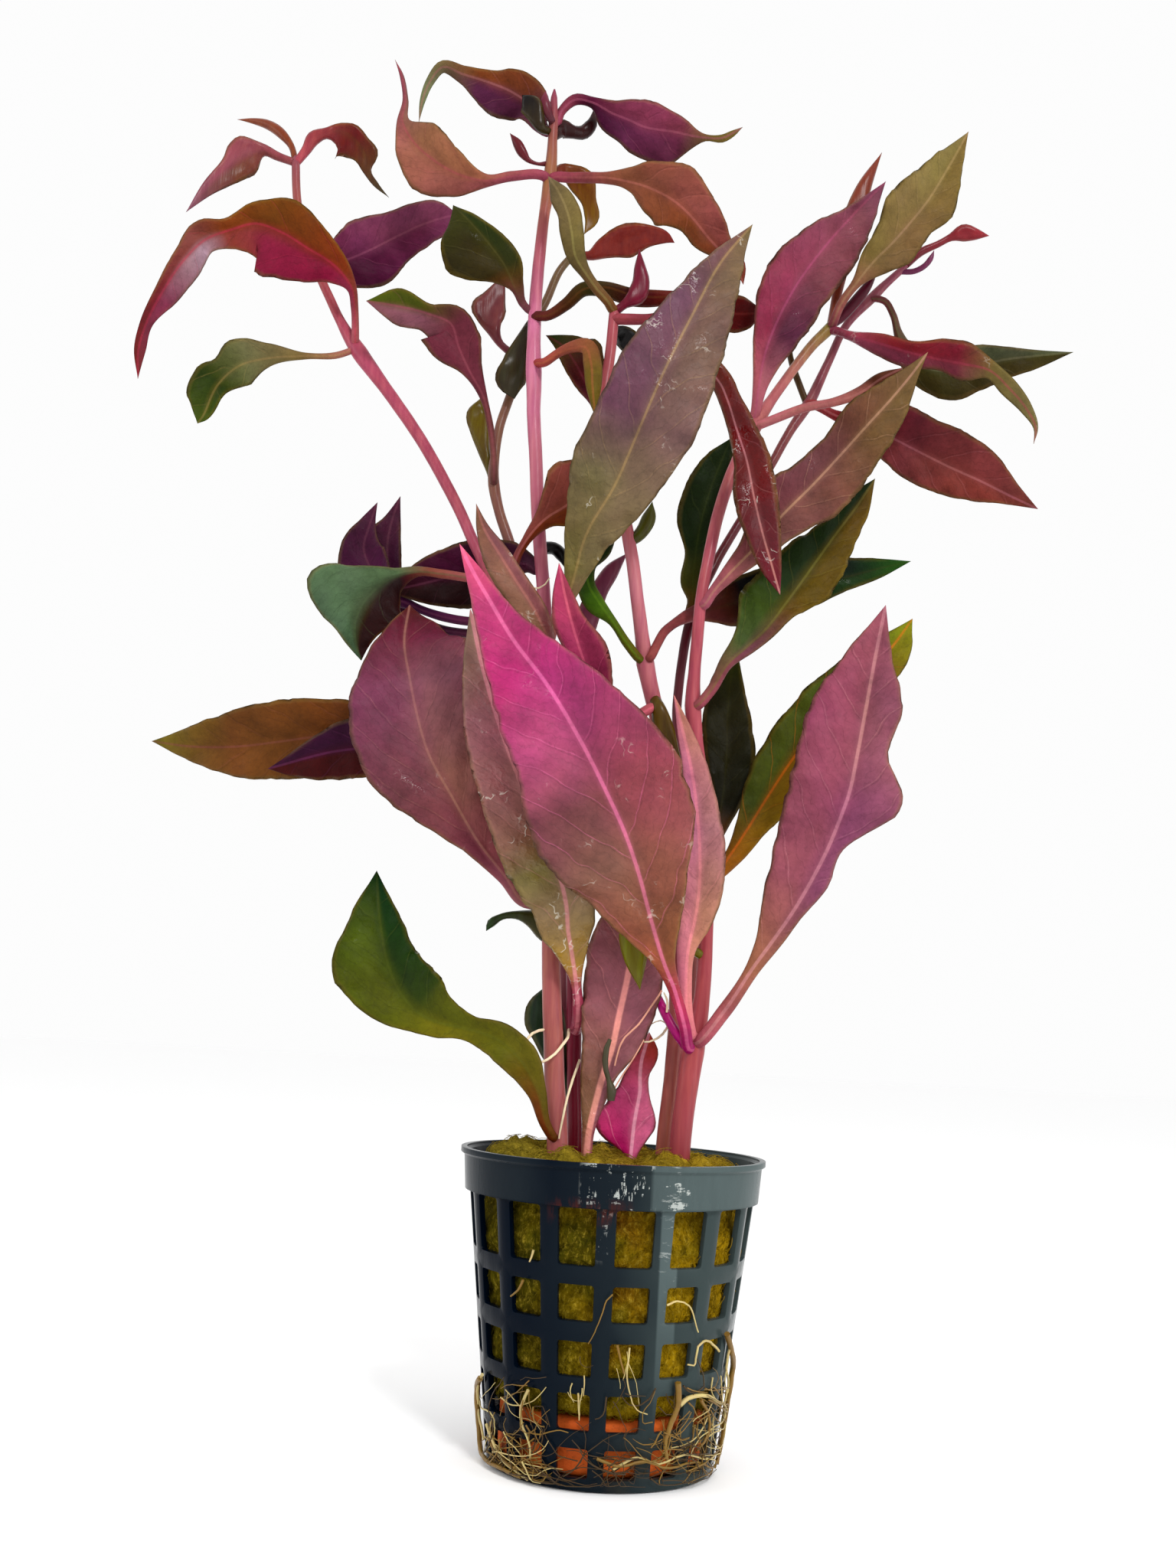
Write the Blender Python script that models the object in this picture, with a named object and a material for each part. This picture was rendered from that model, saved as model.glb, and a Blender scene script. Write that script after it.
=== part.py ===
# Red-leaved aquarium plant standing in a net pot: a rockwool plug and a clay ring
# sit in the pot, six stems stand in the plug, and each leaf grows from its stem.
# Values are millimetres, scaled to metres as each mesh is made. +Z is up, the origin
# is the centre of the pot's underside, and the front of the plant faces -Y.

import math

import bmesh
import bpy
from mathutils import Vector

MM = 0.001
GAP = 0.3                     # clearance between pieces that touch

# Net pot
POT_HEIGHT = 47.9
RIM_RADIUS = 25.0
LIP_HEIGHT = 0.8
BAND_TOP_RADIUS = 24.4
BAND_RADIUS = 23.95           # outer radius of the smooth band at its lower edge
WALL = 0.95
WALL_TOP = 41.3               # where the band ends and the basket begins
WALL_TOP_RADIUS = 23.1
BASE_RADIUS = 17.95
WINDOW_COLUMNS = 16
WINDOW_TURN = 10.0            # degrees from the front to the nearest window's middle
WINDOW_WIDTH = 15.0           # degrees that a window spans
WINDOW_ROWS = [(1.7, 6.05), (8.5, 13.95), (16.4, 21.6), (24.5, 29.9), (32.6, 41.3)]

# What lies in the pot
WOOL_TOP = 46.9
WOOL_TOP_RADIUS = 20.2
WOOL_SHOULDER = 37.0
WOOL_BOTTOM = 10.4
WOOL_CLEAR = 0.6              # between the plug and the basket's inside
WOOL_SIDES = 20
SOCKET_DEPTH = 11.0           # how deep a stem stands in the plug
STUB_DEPTH = 5.0              # how deep a leaf stalk stands in the plug
SLIT = (0.9, 2.2, 16.0)       # width, depth and height of the crack in the plug's front
RING_BOTTOM = 1.3
RING_TOP = 9.8
RING_RADIUS = 16.2
RING_BORE = 6.0
RING_ROUND = 1.3
RING_SIDES = 18

# Foliage
STEM_SIDES = 5
RIB_HALF = 0.5                # half the thickness of a blade at its midrib
BLADE_HALF = 0.2              # half the thickness midway between midrib and edge
BOW = 0.05                    # how far each half of a blade swells towards the front
LIFT = 0.16                   # how far a blade's edges rise towards the front, per width
ROOT_SIDES = 5

# Leaves and stems are placed as they are seen from in front of the pot: a position in
# a 1536 by 2048 picture, and a depth in millimetres in front of the pot's axis.
EYE = Vector((0.0, -258.66, 66.67))
YAW = math.radians(-1.625)
PITCH = math.radians(9.302)
ROLL = math.radians(3.015)
FOCAL = 2000.0
MIDDLE = (768.0, 1024.0)

# Each stem from the plug up to its tip: position, depth, radius
STEMS = {
    "a": [(728, 1512, 6, 1.75), (724, 1400, 6, 1.65), (721, 1300, 5, 1.6), (717, 1150, 3, 1.4),
          (705, 1000, 0, 1.2), (690, 870, -3, 1.1), (658, 790, -5, 1.05), (631, 735, -5.5, 1.0),
          (587, 640, -7.5, 1.05), (550, 575, -9, 1.1), (502, 505, -10, 1.2), (470, 462, -11, 1.6),
          (444, 418, -12, 0.9), (424, 375, -12, 0.85), (404, 330, -12, 0.85),
          (388, 262, -12, 0.8), (386, 206, -12, 0.8)],
    "b": [(751, 1510, 0, 1.3), (750, 1400, 0, 1.2), (750, 1320, -1, 1.25), (742, 1150, -2, 1.2),
          (730, 1000, -2, 1.2), (716, 850, -3, 1.25), (709, 760, -3, 1.2), (703, 680, -3, 1.2),
          (700, 600, -3, 1.2), (697, 530, -3, 1.25), (697, 482, -3, 1.5), (697, 450, -3, 1.25),
          (699, 408, -4, 1.2), (704, 340, -5, 1.1), (711, 280, -5, 1.0), (718, 232, -6, 1.25),
          (722, 185, -6, 0.9), (723, 150, -6, 0.9), (724, 118, -6, 0.5)],
    "c": [(741, 1512, -6, 1.0), (739, 1400, -6, 1.0), (736, 1300, -7, 1.0), (730, 1100, -8, 1.0),
          (716, 950, -9, 1.0), (690, 800, -10, 1.0), (664, 705, -10.5, 1.0),
          (651, 665, -10.5, 0.95), (645, 634, -10.5, 1.1), (647, 590, -11, 0.85),
          (652, 560, -11, 0.85), (665, 520, -12, 0.85), (681, 476, -12.5, 0.85),
          (694, 430, -13, 0.8), (714, 392, -14, 0.8), (735, 348, -15, 0.75), (757, 325, -15, 0.7)],
    "d": [(866, 1510, 1, 1.35), (876, 1420, 1, 1.35), (883, 1330, 0, 1.3), (884, 1240, -1, 1.3),
          (879, 1120, -1, 1.3), (868, 1000, 1, 1.3), (856, 925, 2, 1.4), (848, 890, 3, 1.45),
          (843, 866, 3, 1.6), (839, 835, 4, 1.25), (832, 780, 5, 1.15), (824, 718, 5, 1.15),
          (812, 660, 5, 1.1), (799, 600, 4, 1.05), (788, 540, 4, 1.0), (796, 470, 3, 0.95),
          (803, 402, 3, 0.95)],
    "e": [(887, 1510, 6, 1.75), (895, 1440, 6, 1.7), (905, 1372, 5, 1.95), (917, 1300, 5, 1.3),
          (922, 1220, 4, 1.2), (924, 1120, 3, 1.15), (918, 1030, 3, 1.15), (909, 965, 4, 1.15),
          (905, 925, 4, 1.45), (907, 880, 4, 1.05), (912, 825, 5, 1.05), (917, 775, 5, 1.0),
          (928, 715, 4, 1.05), (943, 655, 2, 1.1), (962, 605, 0, 1.15), (986, 556, -2, 1.4),
          (1008, 522, -4, 0.95), (1038, 480, -6, 0.9), (1062, 450, -7, 0.95),
          (1084, 428, -8, 1.1), (1092, 418, -8, 0.8)],
    "f": [(876, 1510, -4, 0.95), (890, 1400, -4, 0.95), (907, 1300, -5, 0.95),
          (906, 1180, -6, 0.95), (898, 1050, -7, 0.9), (884, 930, -8, 0.85), (890, 870, -8, 0.85),
          (901, 812, -9, 0.9), (935, 735, -11, 0.85), (968, 678, -12, 0.8), (1003, 615, -14, 0.8),
          (1031, 565, -15, 0.85), (1056, 527, -16, 1.1), (1081, 475, -17, 0.8),
          (1105, 425, -18, 0.75), (1140, 388, -19, 1.0), (1160, 368, -19, 0.75),
          (1186, 345, -19, 0.65)],
}

STEM_TONE = {
    "a": (0.50, 0.10, 0.14), "b": (0.55, 0.13, 0.20), "c": (0.38, 0.13, 0.10),
    "d": (0.55, 0.17, 0.18), "e": (0.58, 0.18, 0.20), "f": (0.40, 0.12, 0.10),
}

# Each leaf from its stalk to its tip: position and depth of the midrib, then the blade's
# width to the left and to the right of it, as walked from the stem
LEAVES = {
    "a2_left": ("a", (0.16, 0.15, 0.06), [
        (440, 464, -10, .6, .6), (400, 465, -9.5, .6, .6), (350, 468, -9, 1.5, 2.8),
        (312, 478, -8.5, 3.8, 4.6), (298, 488, -8.2, 3.2, 3.4), (285, 502, -8, 2.2, 4.6),
        (264, 545, -7, .9, 2),
        (258, 553, -6, 0, 0)]),
    "a2_big": ("a", (0.25, 0.07, 0.06), [
        (464, 446, -10, .7, .7), (463, 400, -9, .7, .7), (460, 378, -7, .9, .9),
        (440, 350, -4, 3.4, 2.5), (400, 323, -2, 6.9, 5.2), (365, 302, -1, 8.6, 6.1),
        (335, 292, 0, 7.8, 3.9), (302, 300, 1, 3.8, 2.2), (270, 312, 2, 2.4, 3.4),
        (240, 340, 3, 3.6, 2.2), (213, 380, 4, 3.1, 1.5), (190, 425, 5, 1.1, 1.1),
        (181, 455, 5.5, 1.3, .8), (180, 495, 6, 0, 0)]),
    "a3_right": ("a", (0.14, 0.04, 0.09), [
        (412, 345, -12, 1, 1), (425, 345, -14, 2, 2), (450, 340, -14, 4.6, 5),
        (480, 328, -14.5, 5.8, 6.5), (520, 308, -15, 4.4, 4.6), (555, 292, -15.5, 3.9, 3.6),
        (580, 284, -16, 2.8, 2.5), (598, 280, -16, 0, 0)]),
    "a4_curl": ("a", (0.12, 0.12, 0.08), [
        (632, 754, -5, .8, .8), (580, 750, -4, .8, .8), (545, 747, -3, .9, 1),
        (515, 753, -2, 3, 1.6), (490, 770, 0, 6, 5.5), (470, 795, 1, 8, 10.4),
        (463, 824, 2, 5.6, 3.3), (466, 846, 2, 2.5, 1.1), (472, 863, 2, 0, 0)]),
    "a4_twin": ("a", (0.06, 0.02, 0.04), [
        (662, 806, -6, .8, .8), (625, 812, -9, .8, .8), (580, 806, -10.5, .8, .8),
        (535, 790, -11, .9, .9), (500, 770, -11, 2.5, 2), (485, 745, -11, 6, 3.4),
        (475, 715, -11, 4.1, 3.4), (483, 685, -11, 2, 1.1), (493, 656, -11, 0, 0)]),
    "a4_back": ("a", (0.05, 0.02, 0.03), [
        (668, 825, -6, .8, .8), (620, 828, -11, .8, .8), (570, 820, -13.5, .8, .8),
        (525, 796, -14.5, 1.2, 1), (508, 745, -14.5, 4.7, 2.3),
        (506, 710, -14.5, 4.7, 2.4), (512, 680, -14.5, 1.6, 1.6), (523, 648, -14.5, 0, 0)]),
    "a5_round": ("a", (0.23, 0.07, 0.09), [
        (716, 1183, 5, 1, 1), (685, 1178, 6, 1, 1), (660, 1145, 9, 1.4, 1.2),
        (625, 1100, 11, 3, 3.5), (590, 1040, 12, 7.8, 5.2), (560, 985, 12, 11, 7.6),
        (545, 935, 11, 11.9, 9.4), (535, 885, 10, 9.7, 10.6), (528, 840, 8, 5, 10.2),
        (535, 790, 5, 0, 0)]),
    "a6_brown": ("a", (0.12, 0.04, 0.02), [
        (708, 1108, 1, 1, 1), (660, 1050, 1, 1, 1), (600, 1000, 0, 1, 1),
        (520, 980, -1, 4, 4), (460, 965, -3, 6, 6.5), (420, 962, -4, 6.8, 6.6),
        (370, 968, -5, 6.6, 7.1), (310, 975, -6, 5.3, 6.2), (250, 975, -7, 2.5, 3.6),
        (198, 968, -9, 0, 0)]),
    "a6_purple": ("a", (0.06, 0.02, 0.04), [
        (712, 1130, 4, 1, 1), (660, 1070, 5.5, 1, 1), (600, 1010, 5, 1, 1),
        (520, 985, 4, 4, 4), (480, 978, 3, 5, 6), (440, 981, 2, 5, 4.5),
        (400, 990, 1, 3.8, 2.5), (372, 998, 0, 2, 1), (350, 1004, -1, 0, 0)]),
    "a7_low": ("a", (0.11, 0.11, 0.02), [
        (722, 1485, 8, .8, .8), (714, 1470, 8.5, 1, .8), (702, 1425, 9, 1.8, 1.5),
        (680, 1385, 10, 3.1, 3.2), (650, 1358, 10, 3.1, 3), (614, 1345, 9, 2, 2.4),
        (598, 1341, 8.5, 2, 3.2), (578, 1337, 8, 2.5, 5.2), (548, 1324, 7, 3.6, 6.8),
        (525, 1300, 6, 6.6, 6.8), (507, 1260, 4, 9.4, 5.4), (496, 1200, 2, 5.4, 3.4),
        (492, 1137, 0, 0, 0)]),
    "b1_left": ("b", (0.12, 0.05, 0.07), [
        (718, 172, -6.5, .9, .9), (708, 165, -8, 1.5, 1.2), (695, 140, -8, 3.5, 3.8),
        (672, 122, -8, 5.2, 4.2), (640, 108, -8.5, 4.6, 2.2), (605, 97, -9, 1.7, 1.5),
        (577, 88, -9.5, 1, 1.1), (562, 106, -10, .8, .8), (552, 130, -10, .6, .5),
        (547, 160, -10, 0, 0)]),
    "b1_right": ("b", (0.15, 0.04, 0.08), [
        (726, 160, -6.5, .8, .8), (733, 146, -7, .8, .8), (752, 130, -7, 1, 1),
        (774, 134, -7, 1, 1), (800, 148, -7, 2.4, 3.6), (820, 156, -7.2, 3.6, 4.2),
        (840, 165, -7.5, 4.6, 5.2),
        (880, 172, -7.5, 3.2, 5.8), (922, 180, -8, .6, .6), (944, 180, -8, .6, .8),
        (957, 174, -8, .5, .6), (970, 166, -8, 0, 0)]),
    "b2_left": ("b", (0.24, 0.08, 0.07), [
        (712, 231, -5, .9, .9), (670, 230, -5, .9, .9), (635, 236, -4, 1.2, 1.2),
        (600, 228, -4, 4.2, 3.3), (565, 208, -3, 6.3, 4.9), (540, 185, -2, 4, 4.8),
        (526, 160, -1, 1.2, 1.6), (530, 130, -1, .6, .5), (525, 100, 0, .4, .4),
        (516, 78, 0, 0, 0)]),
    "b2_right": ("b", (0.23, 0.09, 0.04), [
        (724, 232, -5, .95, .95), (745, 232, -4, .95, .95), (770, 232, -2, 1, 1),
        (790, 232, 0, 1, 1.1), (820, 237, 2, 2.5, 1.4), (850, 246, 4, 4.8, 3.7),
        (880, 262, 5, 6.4, 5.3), (905, 285, 6, 5.1, 3.2), (925, 310, 6, 4.2, 2.8),
        (945, 332, 5, 2.5, 1.4), (963, 352, 4.5, 1.7, .6), (971, 372, 4, 0, 0)]),
    "b3_left": ("b", (0.05, 0.06, 0.03), [
        (697, 408, -4, .7, .7), (684, 398, -3, .7, .7), (672, 375, -1, 1, 1.8),
        (660, 348, 1, 5.3, 3.2), (640, 320, 2, 8.7, 3), (617, 293, 3, 7.6, 1.8),
        (592, 268, 2, 0, 0)]),
    "b3_right": ("b", (0.10, 0.04, 0.02), [
        (701, 413, -2.5, .9, .9), (712, 413, -2, .9, .9), (740, 397, -1, 1.1, 1.1),
        (762, 378, 0, 1.3, 1.3), (790, 375, 0, 1, 1.8), (825, 385, -1, 1.2, 2),
        (865, 388, -1.5, 1.2, 1.5), (905, 380, -2, 0, 0)]),
    "b4_right": ("b", (0.20, 0.10, 0.03), [
        (701, 475, -2, .8, .8), (712, 473, 0, .8, .8), (728, 462, 1, .8, .8),
        (748, 455, 3, 1.3, .8), (765, 455, 5, 1.8, 1), (772, 475, 6.5, 1.9, 1.4),
        (774, 505, 8, 1.6, 1.2), (777, 545, 8, 0, 0)]),
    "b5_front": ("b", (0.18, 0.10, 0.08), [
        (717, 842, 0, .9, .9), (722, 820, 2, 1, 1), (745, 770, 8, 1.4, 1.6),
        (765, 700, 13, 3.9, 4.6), (805, 630, 19, 8.8, 7.1), (835, 560, 22, 8.6, 9.5),
        (865, 490, 23, 8.2, 9.5), (905, 410, 21, 5.4, 7.3), (940, 345, 17, 2.5, 4.5),
        (983, 293, 12, 0, 0)]),
    "b6_arch": ("b", (0.06, 0.03, 0.05), [
        (703, 745, -4.2, .9, .9), (690, 738, -6, 1.5, 2), (672, 735, -7.3, 3.5, 3.8),
        (640, 742, -9.3, 5.5, 5.4), (605, 750, -10.3, 6, 5.4), (570, 758, -9.8, 4.8, 4.7),
        (535, 766, -9.2, 2.5, 2.8), (505, 772, -9, 0, 0)]),
    "b6_left": ("b", (0.28, 0.09, 0.09), [
        (720, 908, 0, 1, 1), (721, 880, 6, 1, 1), (720, 850, 10, 1, 1),
        (700, 800, 14, 3, 2), (675, 760, 16, 3.5, 2), (650, 720, 15, 3, 1.7),
        (632, 690, 13, 1.4, 1), (622, 658, 11, 0, 0)]),
    "b7_left": ("b", (0.16, 0.07, 0.05), [
        (752, 1345, 1, 1, 1), (755, 1320, 5, 1, 1), (752, 1280, 8, 1, 1),
        (746, 1240, 10, 3, 2.8), (742, 1215, 11.5, 4.8, 4.2), (740, 1185, 13, 5.9, 4.8),
        (728, 1135, 15, 8, 5.5),
        (705, 1080, 16, 8.2, 6), (675, 1010, 17, 7.3, 6), (650, 940, 17, 6, 5),
        (630, 870, 17, 3.5, 3), (614, 795, 17, 0, 0)]),
    "c3_left": ("c", (0.17, 0.05, 0.06), [
        (645, 628, -9, .7, .7), (645, 600, -8, .6, .6), (641, 560, -7, .6, .6),
        (632, 520, -6, .7, .7), (612, 482, -5, 1.6, 2.7), (598, 450, -4, 5.3, 4.4),
        (590, 424, -3, 6.2, 3.6), (560, 410, -2, 3.4, 1.8), (520, 400, -1, 3.3, 3.2),
        (478, 393, 0, 0, 0)]),
    "c4_right": ("c", (0.24, 0.10, 0.06), [
        (684, 785, -8, .8, .8), (676, 760, -5, .8, .8), (672, 740, -2, .8, .8),
        (690, 702, 1, .9, .9), (712, 678, 2, 2.2, 1.8), (740, 660, 2, 6.5, 4),
        (770, 635, 1, 6, 4), (800, 600, 0, 0, 0)]),
    "d1_top": ("d", (0.18, 0.09, 0.05), [
        (800, 404, 3.5, .9, .9), (795, 395, 5, .9, .9), (780, 378, 6, .95, .95),
        (767, 360, 6, 1, 1), (752, 335, 5, 1.6, 1.9), (747, 305, 4, 2.2, 2.2),
        (742, 280, 3, 1.9, 2.4), (732, 255, 2, 2, 1.8), (716, 230, 1, 0, 0)]),
    "d1_right": ("d", (0.14, 0.02, 0.02), [
        (806, 417, 3.5, 1, 1), (818, 417, 4, 1, 1), (850, 417, 2, 1, 1),
        (890, 412, -1, 2, 2), (930, 408, -4, 2.8, 2.8), (970, 410, -7, 3, 3),
        (1000, 408, -9, 0, 0)]),
    "d2_left": ("d", (0.08, 0.01, 0.03), [
        (785, 538, 3.5, 1, 1), (778, 525, 3, 1.1, 1.4), (765, 500, 0, 2, 3.7),
        (750, 472, -2, 2.2, 5.5), (733, 450, -4, 1.4, 2), (713, 438, -5, 0, 0)]),
    "d2_right": ("d", (0.14, 0.03, 0.03), [
        (792, 527, 5, .9, .9), (820, 490, 7, .9, .9), (870, 475, 8, .9, .9),
        (925, 483, 9, 2.4, 1.6), (940, 500, 9, 2.4, 1.6), (950, 522, 10, 2.4, 1.6),
        (962, 560, 11, 3.4, 1.6), (975, 600, 12, 4.1, 2.3), (985, 650, 13, 4.2, 3.6),
        (997, 700, 14, 3.2, 3), (1010, 745, 14, 1.5, 1.9), (1019, 777, 14, 0, 0)]),
    "d3_left": ("d", (0.07, 0.13, 0.01), [
        (838, 862, 4, .8, .8), (820, 842, 5, .8, .8), (800, 812, 6, .8, .8),
        (783, 788, 5.5, 2.4, 1), (768, 760, 4, 2, 1.2), (768, 738, 3, 1.5, 1.5),
        (785, 715, 2, 2, 2), (808, 690, 1, 0, 0)]),
    "d3_right": ("d", (0.02, 0.03, 0.01), [
        (848, 860, 4.5, .8, .8), (858, 842, 4, .8, .8), (868, 825, 3, .8, .8),
        (880, 815, 2, .8, .8), (895, 808, 0, 1.3, .9), (915, 800, -3, 1.8, 1.6),
        (950, 790, -5, 3.6, 4), (1000, 775, -6, 4.5, 4.5), (1050, 765, -8, 4.5, 4),
        (1100, 755, -9, 3.6, 2.4), (1150, 742, -10, 1.7, 1.6), (1190, 733, -10, 0, 0)]),
    "d4_left": ("d", (0.36, 0.04, 0.10), [
        (850, 925, 4.5, .9, .9), (820, 938, 7, .9, .9), (792, 928, 9, 1, 1),
        (775, 895, 12, 2.5, 3.6), (758, 850, 15, 2.6, 4.6), (746, 810, 17, 3.2, 2.5),
        (738, 778, 18, 2.3, 1.5), (730, 735, 19, 0, 0)]),
    "e1_left": ("e", (0.19, 0.03, 0.06), [
        (985, 550, -2, .9, .9), (987, 538, -1, .9, .9), (991, 505, 0, 1.1, 1.6),
        (1000, 460, 0, 2.4, 4.1), (1015, 420, -1, 4.6, 5.8), (1040, 373, -2, 6.4, 6.2),
        (1075, 325, -3, 4.8, 6.4), (1115, 280, -5, 1.8, 4.2), (1157, 237, -7, 0, 0)]),
    "e1_right": ("e", (0.14, 0.05, 0.03), [
        (990, 556, -1, .8, .8), (1010, 548, -1, .8, .8), (1050, 533, -2, .8, .8),
        (1090, 525, -4, .8, .8), (1125, 512, -6, 1.1, 1.1), (1150, 495, -7, 1.1, 2),
        (1180, 480, -8, 0, 0)]),
    "e2_right": ("e", (0.16, 0.10, 0.04), [
        (1087, 424, -7, .8, .8), (1098, 398, -4, .8, .8), (1120, 368, -2, 1, 1),
        (1140, 343, -1, 2.7, 3), (1165, 318, -1, 4.1, 4.8), (1188, 292, -1, 6.2, 4.1),
        (1212, 262, -2, 5.7, 5.2), (1238, 220, -3, 3.5, 2.7), (1265, 172, -5, 0, 0)]),
    "e2_low": ("e", (0.20, 0.04, 0.05), [
        (1090, 432, -7, .8, .8), (1110, 438, -4, .8, .9), (1150, 449, -1, 1.8, 2.1),
        (1190, 461, 1, 2.1, 2.7), (1230, 470, 2, 3.6, 1.9), (1262, 476, 3, 3.8, 2.9),
        (1293, 484, 4, 1.7, 1.5), (1318, 507, 4, 1.6, 1.6), (1340, 533, 3, 1.1, 1.1),
        (1353, 560, 3, .4, .4), (1350, 580, 3, 0, 0)]),
    "e3_right": ("e", (0.18, 0.07, 0.06), [
        (920, 790, 6, .9, .9), (930, 775, 7, .9, .9), (950, 752, 8, 1.4, 1.4),
        (985, 716, 9, 2.9, 2.7), (1020, 675, 10, 6.1, 4.6), (1060, 635, 9, 4.9, 6.8),
        (1100, 592, 8, 4.3, 6.3), (1135, 553, 8, 5.2, 5.2), (1165, 520, 7, 3.5, 3.6),
        (1190, 490, 7, 1.8, 1.4), (1212, 460, 6, 0, 0)]),
    "e4_right": ("e", (0.05, 0.05, 0.01), [
        (910, 922, 5, .9, .9), (930, 900, 5, .9, .9), (950, 868, 6, 1.6, .9),
        (975, 845, 6, 3.3, 1.5), (1000, 822, 5, 7, 1.9), (1025, 790, 3, 7.3, 2.9),
        (1042, 767, 2, 6.6, 5), (1060, 742, 1, 5.9, 5.4), (1090, 700, -1, 3.4, 3.9), (1120, 660, -2, 2.6, 2.3),
        (1143, 625, -3, 0, 0)]),
    "e5_up": ("e", (0.03, 0.04, 0.01), [
        (926, 1135, 2, .9, .9), (932, 1105, 0, .9, .9), (938, 1075, -1, .9, 2),
        (944, 1040, -1.5, 2, 3.7), (949, 990, -2, 3.8, 4.9), (950, 940, -3, 4.2, 4.1),
        (953, 900, -4, 3.5, 2.6), (957, 868, -4.5, 2.3, 1.3), (961, 838, -5, 0, 0)]),
    "e5_right": ("e", (0.07, 0.07, 0.01), [
        (928, 1148, 4, .9, .9), (955, 1115, 3, 1, 2.2), (975, 1085, 3, 2.2, 2.8),
        (1000, 1045, 2, 4.4, 4.2), (1040, 985, 0, 5.8, 4.6), (1080, 935, -1, 5.8, 5),
        (1125, 885, -2, 4.5, 4.6), (1165, 845, -3, 2.8, 3.6), (1192, 808, -4, 0, 0)]),
    "e6_front": ("e", (0.38, 0.11, 0.16), [
        (899, 1368, 7.5, 1, 1), (895, 1345, 10.5, 1, 1), (880, 1290, 12, 1.1, 1.1),
        (868, 1260, 14, 1.6, 1.9), (850, 1200, 16, 6.2, 5.5), (834, 1140, 19, 11, 8.8),
        (817, 1090, 22, 14, 12.1), (790, 1030, 25, 14.5, 13.6), (757, 965, 27, 12.3, 11.4),
        (715, 895, 29, 10.3, 7.5), (670, 835, 28, 6.2, 4.2), (640, 785, 26, 3.4, 2.3),
        (617, 745, 25, 1.4, 1.4), (600, 710, 24, 0, 0)]),
    "e6_behind": ("e", (0.36, 0.08, 0.13), [
        (903, 1352, 7, 1, 1), (899, 1335, 8, 1.1, 1), (896, 1290, 9, 1.2, 1),
        (899, 1240, 10, 2, 1.3), (908, 1200, 11, 3, 3.1), (914, 1150, 12, 4, 4.1),
        (914, 1110, 12, 4.2, 4.4), (911, 1065, 11, 3.5, 3.8), (904, 1010, 10, 1.7, 2.9),
        (892, 955, 9, 1, 1.6), (880, 907, 9, 0, 0)]),
    "e6_right": ("e", (0.38, 0.09, 0.13), [
        (910, 1362, 6, 1.1, 1.1), (945, 1322, 8, 1.2, 1.2), (985, 1262, 10, 1.3, 1.3),
        (1010, 1228, 11, 3.1, 1.6), (1035, 1192, 12, 5.8, 1.8), (1060, 1150, 13, 7.7, 2.9),
        (1085, 1100, 14, 9.5, 2.6), (1097, 1070, 14.5, 10, 5.6), (1108, 1040, 15, 10.3, 9), (1120, 985, 15, 10.2, 5.2),
        (1132, 920, 14, 8.8, 6.1), (1143, 860, 13, 5, 3), (1157, 790, 12, 0, 0)]),
    "f1_right": ("f", (0.07, 0.08, 0.04), [
        (1142, 390, -18, .6, .6), (1155, 393, -18, .6, .6), (1166, 410, -18, .6, .6),
        (1173, 435, -17.5, .8, .8), (1185, 460, -17, 1.6, 2), (1210, 480, -17, 2.6, 3.7),
        (1240, 485, -16.5, 3.3, 5), (1275, 478, -16, 3.7, 4.4), (1310, 470, -15.5, 2.4, 3.4),
        (1350, 465, -15, 1.1, 2.4), (1402, 460, -15, 0, 0)]),
    "f2_right": ("f", (0.23, 0.05, 0.05), [
        (1058, 528, -15, .9, .9), (1090, 542, -14, .9, .9), (1130, 557, -13, 2.6, 2.6),
        (1165, 572, -12, 6.2, 4), (1200, 590, -11, 6.1, 5.2), (1240, 610, -10, 6.6, 5),
        (1280, 628, -9, 5.3, 3.8), (1320, 648, -8.5, 2.4, 1.6), (1356, 665, -8, 0, 0)]),
    "f3_left": ("f", (0.03, 0.04, 0.01), [
        (902, 800, -7, 1, 1), (905, 785, -7, 1, 1), (905, 765, -7, 2.1, 1.6),
        (909, 720, -7.5, 2, 2.5), (914, 690, -8, 4.2, 3), (926, 645, -7.5, 4.4, 2.9),
        (942, 603, -7, 3, 2.2), (955, 572, -6, 0, 0)]),
}

# Leaves whose stalks stand in the plug itself
PLUG_LEAVES = {
    "low_mauve": ((0.26, 0.08, 0.10), [
        (766, 1508, 6, .9, .9), (769, 1480, 6, 1.2, .9), (778, 1440, 6, 2.6, 1.5),
        (789, 1400, 6, 4.1, 2.4), (799, 1370, 5, 5.2, 4.2), (809, 1325, 5, 6.4, 5.7),
        (820, 1275, 5, 7.2, 6), (829, 1225, 4.5, 7, 5.6), (836, 1180, 4, 4.4, 3.6),
        (840, 1140, 4, 0, 0)]),
    "low_pink": ((0.34, 0.05, 0.11), [
        (824, 1508, 0, 1.1, 1.1), (826, 1488, 0, 5.2, 2.4), (828, 1470, -.5, 6.6, 3.6),
        (832, 1447, -1, 5.2, 2.8), (836, 1425, -1, 3.9, 1.5), (836, 1405, -1, 2.8, 1.5),
        (838, 1385, -1, 1.6, 2.4), (843, 1367, -1, .9, 2.2), (848, 1348, -1, 0, 0)]),
}

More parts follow.
